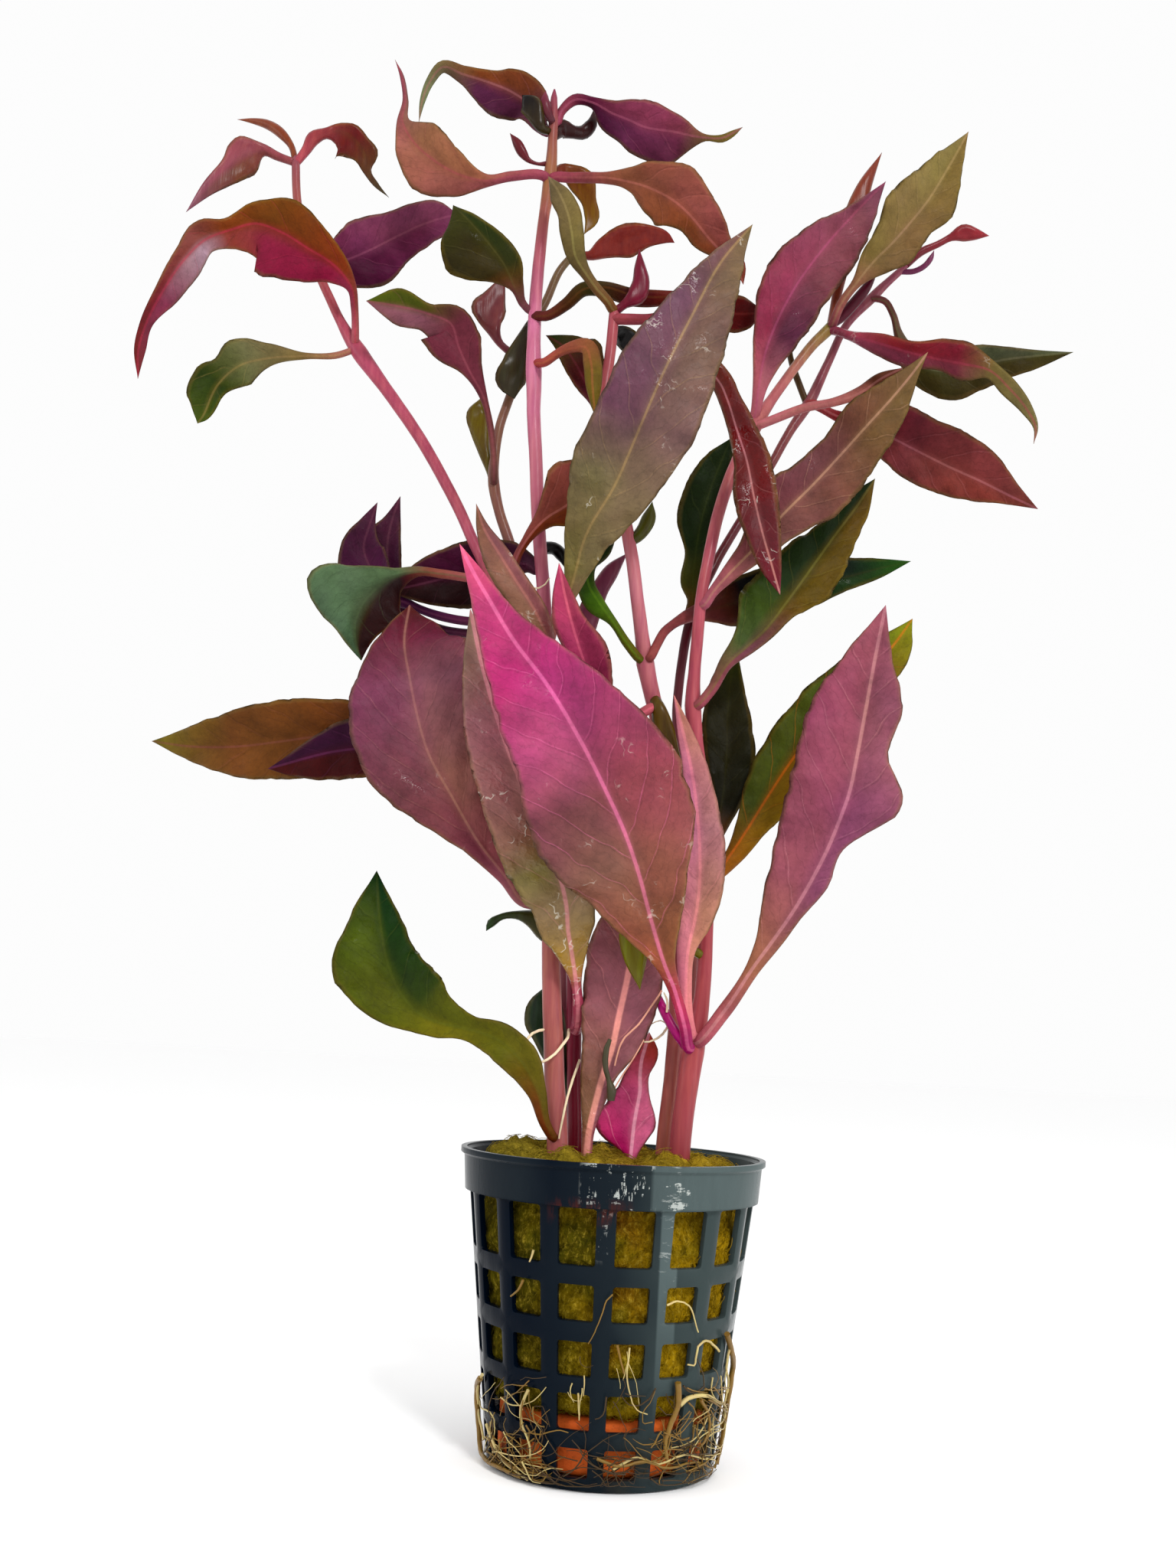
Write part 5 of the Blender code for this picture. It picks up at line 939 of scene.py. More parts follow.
# young leaves and bracts, part of the stem they grow from
youngLeaves = {
    "a": [
        {"tones": [(0, "8c464b"), (.5, "6e3c28", "964b55"), (1, "82505f")], "rows": [
            (384, 212, -12, .7, .7), (362, 204, -12, .8, .8), (345, 197, -12, 1, 1.2),
            (322, 203, -11, 3.3, 3.4), (298, 220, -10, 3, 1.8), (272, 245, -8, 1.4, 1.2),
            (243, 277, -6, 0, 0)]},
        {"tones": [(0, "824128")], "rows": [
            (386, 212, -12.4, .6, .6), (380, 190, -13.5, .6, .6), (368, 175, -14, .9, .9),
            (350, 163, -15.5, .85, .85), (330, 158, -17, .5, .5), (310, 156, -18, 0, 0)]},
        {"tones": [(0, "b4505a"), (.5, "641e14"), (1, "504b32")], "rows": [
            (386, 214, -12, .7, .7), (400, 196, -12, .9, .9), (411, 182, -12, 1.5, 1),
            (428, 173, -12, .9, 1.3), (444, 171, -12.3, 1.4, 4), (457, 177, -12.8, 2.2, 5),
            (470, 191, -13.3, 2.2, 3.6), (477, 205, -13.6, 2.6, 2.2), (481, 222, -13.8, .6, 1.1),
            (491, 241, -13.9, .5, .5), (508, 258, -14, 0, 0)]},
        {"tones": [(0, "463c14"), (1, "283c14")], "rows": [
            (719, 1230, 4, .9, .9), (706, 1218, 4, 1, 1.5), (695, 1207, 3.5, .8, 2.3),
            (675, 1197, 3, .5, 1), (655, 1197, 3, .6, .5), (640, 1208, 3, .6, .7), (635, 1216, 3, 0, 0)]},
    ],
    "b": [
        {"tones": [(0, "370f19")], "rows": [
            (722, 180, -6.4, .7, .7), (736, 169, -9, 1.7, 1.6), (749, 173, -10, 1.2, 1.1),
            (763, 173, -11, 1.3, 1.2), (773, 163, -11, 1.2, 1), (776, 142, -11, 0, 0)]},
        {"tones": [(0, "3c3214"), (1, "1e1e0f")], "rows": [
            (718, 172, -5.6, .6, .6), (708, 168, -4.5, .9, .9), (700, 152, -4, 1.6, 1.6),
            (693, 136, -4, 2.2, 1.8), (682, 124, -4, 0, 0)]},
        {"tones": [(0, "5a3237"), (1, "6e2837")], "rows": [
            (722, 160, -5.2, .6, .6), (716, 150, -4.5, .8, .9), (711, 136, -4.2, 1, 1.2),
            (713, 118, -4.2, 0, 0)]},
        {"tones": [(0, "64282d")], "rows": [
            (714, 214, -6, .5, .5), (702, 214, -5.2, .3, .3), (690, 209, -5, .5, .5),
            (683, 199, -4.8, 1, .8), (675, 187, -4.6, .8, .9), (666, 174, -4.4, 0, 0)]},
        {"tones": [(0, "6e231e"), (1, "785a14")], "rows": [
            (718, 234, -6.4, .8, .8), (738, 224, -10, 1.5, 1.2), (756, 243, -11, 3.4, 1.6),
            (768, 264, -11.5, 1.6, 1.2), (772, 284, -12, 1.5, 1.2), (763, 306, -12, 0, 0)]},
        {"tones": [(0, "3c3728")], "rows": [
            (699, 416, -4.4, .7, .7), (692, 424, -8, .8, .8), (686, 448, -8.5, 1.2, 2),
            (677, 478, -9, 1.6, 3), (670, 503, -9, 2, 3), (672, 521, -9, 0, 0)]},
        {"tones": [(0, "190a0a")], "rows": [
            (708, 742, -3.4, .8, .8), (712, 716, -6, 1.1, 1.1), (725, 717, -7, 1.1, 1.1),
            (735, 728, -7, 1, 1), (738, 742, -7, 0, 0)]},
        {"tones": [(0, "783c50")], "rows": [
            (716, 868, -3, .8, .8), (745, 850, -2, .9, .9), (765, 830, -1, 1.5, 1.2),
            (770, 800, -1, 2, 2), (783, 770, -1.5, 1.5, 1.6), (798, 745, -2, 1.2, 1.5),
            (820, 722, -3, 0, 0)]},
        {"tones": [(0, "324632", "1e230a")], "rows": [
            (750, 1440, -.5, .9, .9), (737, 1400, -2.5, 2, 1), (727, 1360, -3, 3.5, 1.8),
            (720, 1320, -3.2, 4.5, 2), (722, 1280, -3.5, 0, 0)]},
    ],
    "c": [
        {"tones": [(0, "82322d")], "rows": [
            (755, 330, -15, .6, .6), (768, 334, -14.5, .8, .8), (790, 326, -14, 2.2, 1.6),
            (820, 314, -13.5, 2.9, 3), (850, 310, -13, 2.1, 1.6), (870, 312, -12.5, 1.2, .8),
            (881, 317, -12, 0, 0)]},
        {"tones": [(0, "783c41"), (1, "733c3c")], "rows": [
            (681, 476, -12.4, .7, .7), (668, 462, -12, .7, .7), (652, 447, -11.5, .7, .7),
            (642, 430, -11, 1.1, 1.8), (640, 410, -11.5, 3.4, 2.8), (648, 385, -12, 1.9, 1.8),
            (660, 358, -12, 0, 0)]},
        {"tones": [(0, "64550a")], "rows": [
            (645, 636, -10.6, .7, .7), (641, 618, -12.5, .7, .7), (634, 590, -13, 1.3, .9),
            (628, 560, -13.5, 2, 1.5), (624, 540, -14, 2, 1.6), (628, 520, -14, 0, 0)]},
    ],
    "d": [
        {"tones": [(0, "4b4b00")], "rows": [
            (822, 708, 5, .8, .8), (830, 703, 5, 1, 1), (840, 692, 5, 1.2, 1.2), (848, 675, 5, 1.2, 1.2),
            (852, 655, 5, 0, 0)]},
        {"tones": [(0, "6e1932")], "rows": [
            (803, 408, 3, .8, .8), (815, 398, 3, .8, .8), (832, 385, 3, 1.8, 1.8),
            (837, 370, 3, 1.6, 1.6), (836, 350, 3, 1.1, 1.1), (835, 325, 3, 0, 0)]},
        {"tones": [(0, "0f140a")], "rows": [
            (800, 432, 2.6, .8, .8), (815, 440, -1, 2, 2), (835, 460, -3, 2, 2), (850, 500, -4, 0, 0)]},
        {"tones": [(0, "5a4600")], "rows": [
            (854, 912, 3, .9, .9), (862, 925, 4.5, 1, 1.6), (870, 950, 4.5, 1.3, 2.2),
            (882, 985, 4.5, .8, 1.2), (895, 1015, 4.5, 0, 0)]},
    ],
    "e": [
        {"tones": [(0, "7d3c2d")], "rows": [
            (1085, 428, -8, .8, .8), (1090, 400, -9.5, .8, .8), (1100, 350, -9.5, 1.2, 1.2),
            (1110, 300, -10, 1.8, 1.8), (1128, 245, -10.5, 1.3, 1.4), (1152, 199, -11, 0, 0)]},
        {"tones": [(0, "551e2d")], "rows": [
            (1089, 422, -8, .8, .8), (1097, 416, -8, .9, .9), (1112, 400, -7.5, 1, 1),
            (1130, 378, -6.5, .9, .9), (1148, 350, -5.5, 0, 0)]},
        {"tones": [(0, "6e6900")], "rows": [
            (920, 1250, 4.4, .8, .8), (895, 1235, 7, .8, .8), (860, 1212, 9, .9, .9),
            (828, 1215, 10, 2.2, 2.2), (830, 1250, 10, 2, 2), (836, 1293, 10, 0, 0)]},
        {"tones": [(0, "af1973")], "rows": [
            (903, 1376, 5, .8, .8), (885, 1352, 6, .8, .8), (868, 1322, 5, .8, .8),
            (858, 1300, 4, .6, .6), (850, 1282, 3.5, 0, 0)]},
    ],
    "f": [
        {"tones": [(0, "6e2832"), (1, "8c2d32")], "rows": [
            (1183, 347, -19, .6, .6), (1205, 328, -20, .7, .7), (1225, 319, -20, .6, .6),
            (1242, 310, -20, .7, .7), (1258, 305, -20, 1.6, 1.4), (1275, 306, -20, 1, 1),
            (1292, 308, -20, 0, 0)]},
        {"tones": [(0, "6e3250")], "rows": [
            (1175, 355, -19, .5, .5), (1195, 354, -19, .5, .5), (1208, 347, -18.6, .5, .5),
            (1217, 335, -18.3, .4, .4), (1220, 327, -18, 0, 0)]},
        {"tones": [(0, "503c28")], "rows": [
            (1053, 526, -16, .6, .6), (1045, 505, -15.6, .6, .6), (1036, 480, -15, .6, .6),
            (1031, 458, -15, .6, .6), (1035, 430, -15, 2, 2), (1045, 400, -15, 0, 0)]},
    ],
}


def buildStems(tree):
    for key, rows in stems.items():
        points = [spot(*row[:3]) for row in rows]
        foot = points[0].copy()
        foot.z -= 9.0  # inside the plug
        path = [(foot, rows[0][3])] + [(point, row[3]) for point, row in zip(points, rows)]
        last = points[-1] + (points[-1] - points[-2]).normalized() * rows[-1][3] * 0.4
        path.append((last, rows[-1][3] * 0.35))
        skin = stemFinish("stem_" + key)
        tube = tubesOn("stem_" + key, [path], tree, skin,
                       {"Sides": 14, "Spacing": 0.0008, "Wobble": 0.0003,
                        "Wobble Size": 120.0, "Seed": float(ord(key))})
        heights = np.array([v.co.z for v in tube.data.vertices]) / mm
        share = (heights - points[0].z) / (points[-1].z - points[0].z)
        tones = stopTones(stemTones[key], np.clip(share, 0, 1))[0]
        setColours(tube.data, "tone", np.maximum(tones * stemLook["depth"] - stemLook["haze"], 0.003))
        setVectors(tube.data, "blade", np.zeros((len(heights), 3)))
        pieces = [tube]
        for number, leaf in enumerate(youngLeaves[key]):
            verts, faces, colours, measure = buildBlade(leaf, number + 60)
            young = meshObject("young", verts, faces, skin)
            setColours(young.data, "tone", colours)
            setVectors(young.data, "blade", measure)
            pieces.append(young)
        whole = joined("stem_" + key, pieces)
        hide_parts("stem_" + key)
        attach(whole, "root")
    print("stems made:", len(stems))


# net pot
pot = {"height": 47.9, "rim": 24.97, "lip": 0.8, "bandTop": 24.4, "bandFoot": 23.95,
       "wallTop": 41.3, "wallRadius": 23.1, "baseRadius": 17.95, "wall": 0.95,
       "columns": 16, "turn": 10.0, "halfWindow": 7.5, "corner": 0.5, "edge": 0.12, "ribCrown": 0.2,
       "rows": [(1.7, 6.05), (8.5, 13.95), (16.4, 21.6), (24.5, 29.9), (32.6, 41.1)],
       "navy": "020a16", "paintedLitGrey": "323c3c", "filmAndSheen": "556262", "limescale": "b9beb9",
       "stain": "501e10", "mud": "463719", "gloss": 0.05, "sheenRib": 9.1, "leftFilmAndSheen": -11.0,
       "rightFilmAndSheen": 5.8, "blot": (10.2, 43.6), "blotSize": (2.2, 2.4), "stainHeight": 40.6}


def wallRadius(z):
    spread = pot["wallRadius"] - pot["baseRadius"]
    return pot["baseRadius"] + spread * min(z, pot["wallTop"]) / pot["wallTop"]


def potPanel():
    # one column of windows with its share of the band and floor, facing -Y
    pitch = 360.0 / pot["columns"]
    half, corner = pot["halfWindow"], pot["corner"]
    shape = bmesh.new()
    known = {}

    def at(degrees, z, radius=None):
        if radius is None:
            onRib = abs(degrees) > pitch / 2 - 0.1 and z > 1.0
            radius = wallRadius(z) + (pot["ribCrown"] if onRib else 0.0)
        key = (round(degrees, 4), round(z, 4), round(radius, 4))
        if key not in known:
            a = math.radians(degrees - 90.0)
            known[key] = shape.verts.new((radius * math.cos(a) * mm, radius * math.sin(a) * mm, z * mm))
        return known[key]

    cut = math.degrees(corner / wallRadius(25.0))
    across = [-pitch / 2, -half + cut, -(half - cut) / 3, (half - cut) / 3, half - cut, pitch / 2]
    borders = [0.0] + [(a[1] + b[0]) / 2 for a, b in zip(pot["rows"], pot["rows"][1:])] + [pot["wallTop"]]
    for (low, high), floor, roof in zip(pot["rows"], borders, borders[1:]):
        c = corner * 0.9
        hole, frameEdge = [], []

        def roundCorner(right, upper, quarter):
            # two points round a corner of the window, and the panel's own corner for both
            side = 1.0 if right else -1.0
            for step in (1, 2):
                a = math.pi / 2 * (quarter + step / 3)
                hole.append((side * (half - cut) + cut * math.cos(a),
                             (high - c if upper else low + c) + c * math.sin(a)))
                frameEdge.append((side * pitch / 2, roof if upper else floor))

        def upSide(side, levels):
            for z in levels:
                hole.append((side * half, z))
                frameEdge.append((side * pitch / 2, z))

        ups = [low + c, (low + high) / 2, high - c]
        for x in across[1:5]:  # bottom side, left to right
            hole.append((x, low))
            frameEdge.append((x, floor))
        roundCorner(True, False, -1)
        upSide(1.0, ups)
        roundCorner(True, True, 0)
        for x in reversed(across[1:5]):
            hole.append((x, high))
            frameEdge.append((x, roof))
        roundCorner(False, True, 1)
        upSide(-1.0, reversed(ups))
        roundCorner(False, False, 2)
        for k in range(len(hole)):
            j = (k + 1) % len(hole)
            corners = [at(*frameEdge[k]), at(*frameEdge[j]), at(*hole[j]), at(*hole[k])]
            shape.faces.new(list(dict.fromkeys(corners)))
    bands = [(pot["wallRadius"], pot["wallTop"]), (pot["bandFoot"], pot["wallTop"]),
             (pot["bandTop"], pot["height"] - 1.5 * pot["lip"]), (pot["rim"], pot["height"] - pot["lip"]),
             (pot["rim"], pot["height"])]
    for (r1, z1), (r2, z2) in zip(bands, bands[1:]):
        for x1, x2 in zip(across, across[1:]):
            shape.faces.new([at(x1, z1, r1), at(x2, z1, r1), at(x2, z2, r2), at(x1, z2, r2)])
    middle = shape.verts.new((0.0, 0.0, 0.0))
    for x1, x2 in zip(across, across[1:]):
        shape.faces.new([middle, at(x2, 0.0), at(x1, 0.0)])
    data = bpy.data.meshes.new("panel")
    shape.to_mesh(data)
    shape.free()
    return addObject("panel", data)


def ringTree():
    # turns one panel round the axis, a copy for each column, and welds the seams
    nodes = PieceTree("panelsRoundAxis", [("Columns", "Int"), ("Turn", "Float")])
    marks = nodes.add("GeometryNodeMeshLine", {"Count": nodes.read("Columns"), "Offset": (0.0, 0.0, 0.0)})
    marks = nodes.add("GeometryNodeMeshToPoints", {"Mesh": marks})
    step = nodes.add("GeometryNodeInputIndex") / nodes.read("Columns") * (2.0 * math.pi)
    turn = nodes.add("ShaderNodeCombineXYZ", {"Z": step + nodes.read("Turn")})
    turn = nodes.add("FunctionNodeEulerToRotation", [turn])
    return nodes.end(nodes.add("GeometryNodeInstanceOnPoints", {
        "Points": marks, "Instance": nodes.read("Geometry"), "Rotation": turn}), weld=0.02)


def potFinish():
    # dark blue on the left, greyer on the right as painted light from that side, with dried film and
    # limescale on the band; the film is partly painted reflection and one rib has a painted highlight
    skin = Finish("pot_plastic", 0.3, pot["gloss"])
    place = skin.place()
    x, y, z = (part / mm for part in skin.parts(place))
    broad = skin.noise(place, 60.0, 3.0)
    fine = skin.noise(place, 1500.0, 3.0)
    streak = skin.noise(skin.stretched(place, (700.0, 700.0, 150.0)), 1.0, 5.0, 0.7)
    cross = skin.noise(skin.stretched(place, (250.0, 250.0, 900.0)), 1.0, 4.0, 0.7)
    wandering = x + (broad - 0.5) * 9.0
    # greyer towards the right, the side the light comes from: painted light
    side = wandering.ramp(2.0, 13.0) * 0.8 + wandering.ramp(-12.0, 2.0) * 0.2
    tone = skin.mix(side, paint(pot["navy"]), paint(pot["paintedLitGrey"]))
    band = z.ramp(41.0, 41.6)
    # a pale stripe along one rib on the front: a painted highlight
    fromRib = (x - pot["sheenRib"]).math("ABSOLUTE")
    pale = (1.0 - fromRib / 1.5).ramp(0.0, 0.2) * (1.0 - band)
    front = 1.0 - y.ramp(-6.0, -2.0)  # the marks are on the side that was photographed
    # grey on the band at the left and right ends: partly dried film, partly painted reflection
    filmAndSheen = (pot["leftFilmAndSheen"] - x + (broad - 0.5) * 4.0).ramp(-2.5, 2.5) * 0.14
    filmAndSheen = (filmAndSheen + x.ramp(pot["rightFilmAndSheen"], pot["rightFilmAndSheen"] + 0.6)) * front
    filmAndSheen = filmAndSheen * band * (0.8 + (streak - 0.5) * 0.4) + pale * z.ramp(8.0, 30.0) * front
    tone = skin.mix((filmAndSheen * 0.62).clamp(), tone, paint(pot["filmAndSheen"]))
    scratch = (streak - x * 0.008 - 0.535).ramp(0.0, 0.03) * (cross - 0.49).ramp(0.0, 0.03)
    scratch = scratch * x.ramp(-5.0, -3.0) * (1.0 - x.ramp(5.5, 7.0)) * z.ramp(33.0, 43.0)
    spotX, spotZ = [(part - middle) / size for part, middle, size
                    in zip((x, z), pot["blot"], pot["blotSize"])]
    blot = 1.0 - (spotX * spotX + spotZ * spotZ + (cross - 0.42) * 7.0 + (streak - 0.45) * 4.0)
    rib = (1.0 - fromRib / 1.6).ramp(0.0, 0.3) * (cross - 0.58).ramp(0.0, 0.06)
    lime = (scratch + blot.ramp(0.0, 0.25) * band + rib * z.ramp(24.0, 34.0) * 0.5).clamp() * front
    tone = skin.mix(lime * 0.7, tone, paint(pot["limescale"]))
    fromStain = (z - pot["stainHeight"]).math("ABSOLUTE")
    brown = (streak - 0.46).ramp(0.0, 0.12) * (1.0 - (fromStain / 2.4).clamp())
    brown = brown * x.ramp(-10.0, -7.0) * (1.0 - x.ramp(1.0, 4.0))
    tone = skin.mix(brown * front * 0.75, tone, paint(pot["stain"]))
    mud = (broad - 0.5).ramp(0.0, 0.12) * (1.0 - z.ramp(2.0, 9.0)) * (fine + 0.2).clamp()
    tone = skin.mix(mud * 0.35, tone, paint(pot["mud"]))
    skin.into("Base Color", tone)
    skin.into("Roughness", (0.12 + broad * 0.14 + lime * 0.5 + filmAndSheen * 0.1).clamp())
    skin.bump(streak + fine * 0.2 + lime * 0.4, 0.25, 0.15)
    return skin.material


def buildPot():
    panel = potPanel()
    addNodes(panel, "columns", ringTree(), {"Columns": pot["columns"], "Turn": math.radians(pot["turn"]),
                                            "Material": potFinish()})
    sheet = madePlain(panel, "net_pot")
    shape = bmesh.new()
    shape.from_mesh(sheet.data)
    bmesh.ops.recalc_face_normals(shape, faces=shape.faces)
    lowest = min(shape.faces, key=lambda f: f.calc_center_median().z)
    if lowest.normal.z > 0.0:
        bmesh.ops.reverse_faces(shape, faces=shape.faces)
    shape.to_mesh(sheet.data)
    shape.free()
    wall = sheet.modifiers.new("wall", "SOLIDIFY")
    wall.thickness = pot["wall"] * mm
    wall.offset = -1.0
    wall.use_even_offset = True
    edge = sheet.modifiers.new("edge", "BEVEL")
    edge.width = pot["edge"] * mm
    edge.segments = 2
    edge.limit_method = "ANGLE"
    edge.angle_limit = math.radians(40.0)
    whole = madePlain(sheet, "net_pot")
    for vert in whole.data.vertices:
        vert.co.z = max(vert.co.z, 0.0)
    whole.data.polygons.foreach_set("use_smooth", [True] * len(whole.data.polygons))
    whole.data.set_sharp_from_angle(angle=math.radians(32.0))
    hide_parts("net_pot")
    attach(whole, "root")
    print("net pot made:", len(whole.data.polygons), "faces")


# rockwool plug
wool = {"top": 47.0, "topRadius": 20.3, "shoulder": 37.0, "bottom": 10.4, "gap": 0.25,
        "rough": 0.85, "lump": 2.3, "fibres": 1600000.0, "fibreLength": 0.0026,
        "usualFibre": 0.0022, "fibreRadius": 0.00003, "seed": 4, "olive": "5f5506", "gold": "aa8508",
        "shadow": "231e04", "paintedHighlight": "d2b43c", "moss": "32410a", "rust": "783c0a"}


def lathe(name, profile, sides, material, shake, size):
    # a closed solid of revolution, its surface shaken by noise of a size
    verts = []
    for r, z in profile:
        for k in range(sides):
            a = 2.0 * math.pi * k / sides
            point = Vector((r * math.cos(a), r * math.sin(a), z))
            step = noise.noise_vector(point / size) + 0.5 * noise.noise_vector(point / size * 3.1)
            verts.append((point + step * shake) * mm)
    faces = ringFaces(len(profile), sides)
    last = (len(profile) - 1) * sides
    if profile[0] == profile[-1]:  # the last ring is the first one again
        verts = verts[:-sides]
        faces = [tuple(v - last if v >= last else v for v in face) for face in faces]
    else:
        faces += [tuple(range(sides)), tuple(range(last, last + sides))]
    return meshObject(name, verts, faces, material)


def woolFinish():
    skin = Finish("rockwool", 0.95, 0.05)
    place = skin.place()
    x, _, z = (part / mm for part in skin.parts(place))
    broad = skin.noise(place, 110.0, 4.0, 0.6)
    patch = skin.noise(place, 60.0, 3.0)
    strands = skin.noise(skin.stretched(place, (1300.0, 1300.0, 700.0)), 1.0, 5.0, 0.75)
    tone = skin.mix((x + patch * 20.0 - 10.0).ramp(-14.0, 12.0), paint(wool["olive"]), paint(wool["gold"]))
    tone = skin.mix((broad - 0.5).ramp(0.0, 0.2) * 0.65, tone, paint(wool["shadow"]))
    tone = skin.mix((patch - 0.54).ramp(0.0, 0.1) * 0.55, tone, paint(wool["moss"]))
    rusty = (1.0 - ((x - 1.5) / 6.0).math("ABSOLUTE")).clamp() * z.ramp(16.0, 22.0)
    tone = skin.mix(rusty * (0.6 - patch).ramp(0.0, 0.1) * 0.6, tone, paint(wool["rust"]))
    # pale strands: painted highlights on the fibres
    tone = skin.mix((strands - 0.52).ramp(0.0, 0.18) * 0.7, tone, paint(wool["paintedHighlight"]))
    tone = skin.mix((0.47 - strands).ramp(0.0, 0.16) * 0.75, tone, paint(wool["shadow"]))
    # lighter towards the top, mixed towards the same painted highlight colour
    tone = skin.mix(z.ramp(45.5, 47.5) * 0.35, tone, paint(wool["paintedHighlight"]))
    skin.into("Base Color", tone)
    skin.bump(strands * 1.4 + broad, 1.0, 0.8)
    return skin.material


def fibreTree():
    # short bent fibres scattered over a surface
    nodes = PieceTree("fibresOnSurface", [("Density", "Float"), ("Length", "Float"), ("Radius", "Float"),
                                          ("Seed", "Int")])
    points = nodes.add("GeometryNodeDistributePointsOnFaces", {
        "Mesh": nodes.read("Geometry"), "Density": nodes.read("Density"), "Seed": nodes.read("Seed")})
    upright = Wire(nodes.tree, points.socket.node.outputs["Rotation"])
    bend = nodes.add("GeometryNodeCurvePrimitiveBezierSegment", {
        "Resolution": 4, "Start": (-0.5, 0.0, 0.0), "Start Handle": (-0.2, 0.0, 0.35),
        "End Handle": (0.2, 0.25, 0.3), "End": (0.5, 0.1, -0.1)})
    usual = wool["usualFibre"]
    bend = nodes.add("GeometryNodeTransform", {"Geometry": bend, "Scale": (usual, usual, usual / 2)})
    ring = nodes.add("GeometryNodeCurvePrimitiveCircle", {"Resolution": 3, "Radius": nodes.read("Radius")})
    strand = nodes.add("GeometryNodeCurveToMesh", {"Curve": bend, "Profile Curve": ring, "Fill Caps": True})

    def anyOf(low, high, seed):
        # sockets 2 and 3 are the float limits, output 1 the float
        return nodes.add("FunctionNodeRandomValue", {2: low, 3: high, "Seed": seed},
                         {"data_type": "FLOAT"}, 1)

    angles = nodes.add("ShaderNodeCombineXYZ", {"X": anyOf(-0.7, 0.7, 5), "Z": anyOf(-3.14, 3.14, 0)})
    turned = nodes.add("FunctionNodeRotateRotation", {
        "Rotation": upright, "Rotate By": nodes.add("FunctionNodeEulerToRotation", [angles])},
        {"rotation_space": "LOCAL"})
    size = anyOf(0.5, 1.5, 9) * nodes.read("Length") * (1.0 / usual)
    return nodes.end(nodes.add("GeometryNodeInstanceOnPoints", {
        "Points": points, "Instance": strand, "Rotation": turned, "Scale": size}))


def buildWool():
    material = woolFinish()
    inset = pot["wall"] + wool["gap"] + 0.3
    heights = np.arange(wool["bottom"] + 0.8, wool["shoulder"], 0.7)
    profile = [(0.4, wool["bottom"]), (wallRadius(wool["bottom"]) - inset - 1.2, wool["bottom"])]
    profile += [(wallRadius(z) - inset, z) for z in heights]
    profile += [(wool["topRadius"], z) for z in np.arange(38.0, wool["top"] - 0.8, 0.8)]
    profile += [(wool["topRadius"] - 0.5, wool["top"] - 0.4), (wool["topRadius"] - 1.4, wool["top"])]
    profile += [(r, wool["top"]) for r in np.arange(wool["topRadius"] - 2.4, 0.4, -1.0)]
    body = lathe("rockwool", profile, 140, material, wool["rough"], 1.6)
    for vert in body.data.vertices:
        point = vert.co / mm
        if point.z > wool["top"] - 2.0:
            lump = noise.noise(point / 5.0) + 0.5 * noise.noise(point / 2.1)
            outer = min(1.0, math.hypot(point.x, point.y) / 14.0)
            vert.co.z += (wool["lump"] * max(-0.2, lump) + 0.9 * outer * max(0.0, -point.x / 20.0)) * mm
    fuzz = addObject("fuzz", body.data.copy())
    addNodes(fuzz, "fibres", fibreTree(), {"Density": wool["fibres"], "Length": wool["fibreLength"],
                                           "Radius": wool["fibreRadius"], "Seed": wool["seed"],
                                           "Material": material})
    fuzz = madePlain(fuzz, "fuzz")
    whole = joined("rockwool", [body, fuzz])
    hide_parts("rockwool")
    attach(whole, "root")
    print("rockwool made:", len(whole.data.polygons), "faces")


# clay ring
clay = {"bottom": 1.3, "top": 9.8, "radius": 16.2, "bore": 6.0, "round": 1.3,
        "tone": "c8460a", "light": "f07314", "pit": "7d3208"}


def clayFinish():
    skin = Finish("clay", 0.8)
    place = skin.place()
    broad = skin.noise(place, 120.0, 4.0)
    grain = skin.noise(place, 1800.0, 3.0)
    tone = skin.mix(broad, paint(clay["tone"]), paint(clay["light"]))
    tone = skin.mix((grain - 0.55).ramp(0.0, 0.2) * 0.4, tone, paint(clay["pit"]))
    skin.into("Base Color", tone)
    skin.bump(grain + broad, 0.5, 0.25)
    return skin.material


def buildRing():
    r, bore, low, high = clay["round"], clay["bore"], clay["bottom"], clay["top"]
    quarter = np.linspace(0.0, math.pi / 2, 6)
    profile = [(clay["radius"] - r + r * math.sin(a), low + r - r * math.cos(a)) for a in quarter]
    profile += [(clay["radius"] - r + r * math.cos(a), high - r + r * math.sin(a)) for a in quarter]
    profile += [(bore + 0.4, high), (bore, high - 0.4), (bore, low + 0.4), (bore + 0.4, low)]
    profile.append(profile[0])
    ring = lathe("clay_ring", profile, 96, clayFinish(), 0.12, 2.0)
    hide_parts("clay_ring")
    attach(ring, "root")
    print("clay ring made:", len(ring.data.polygons), "faces")


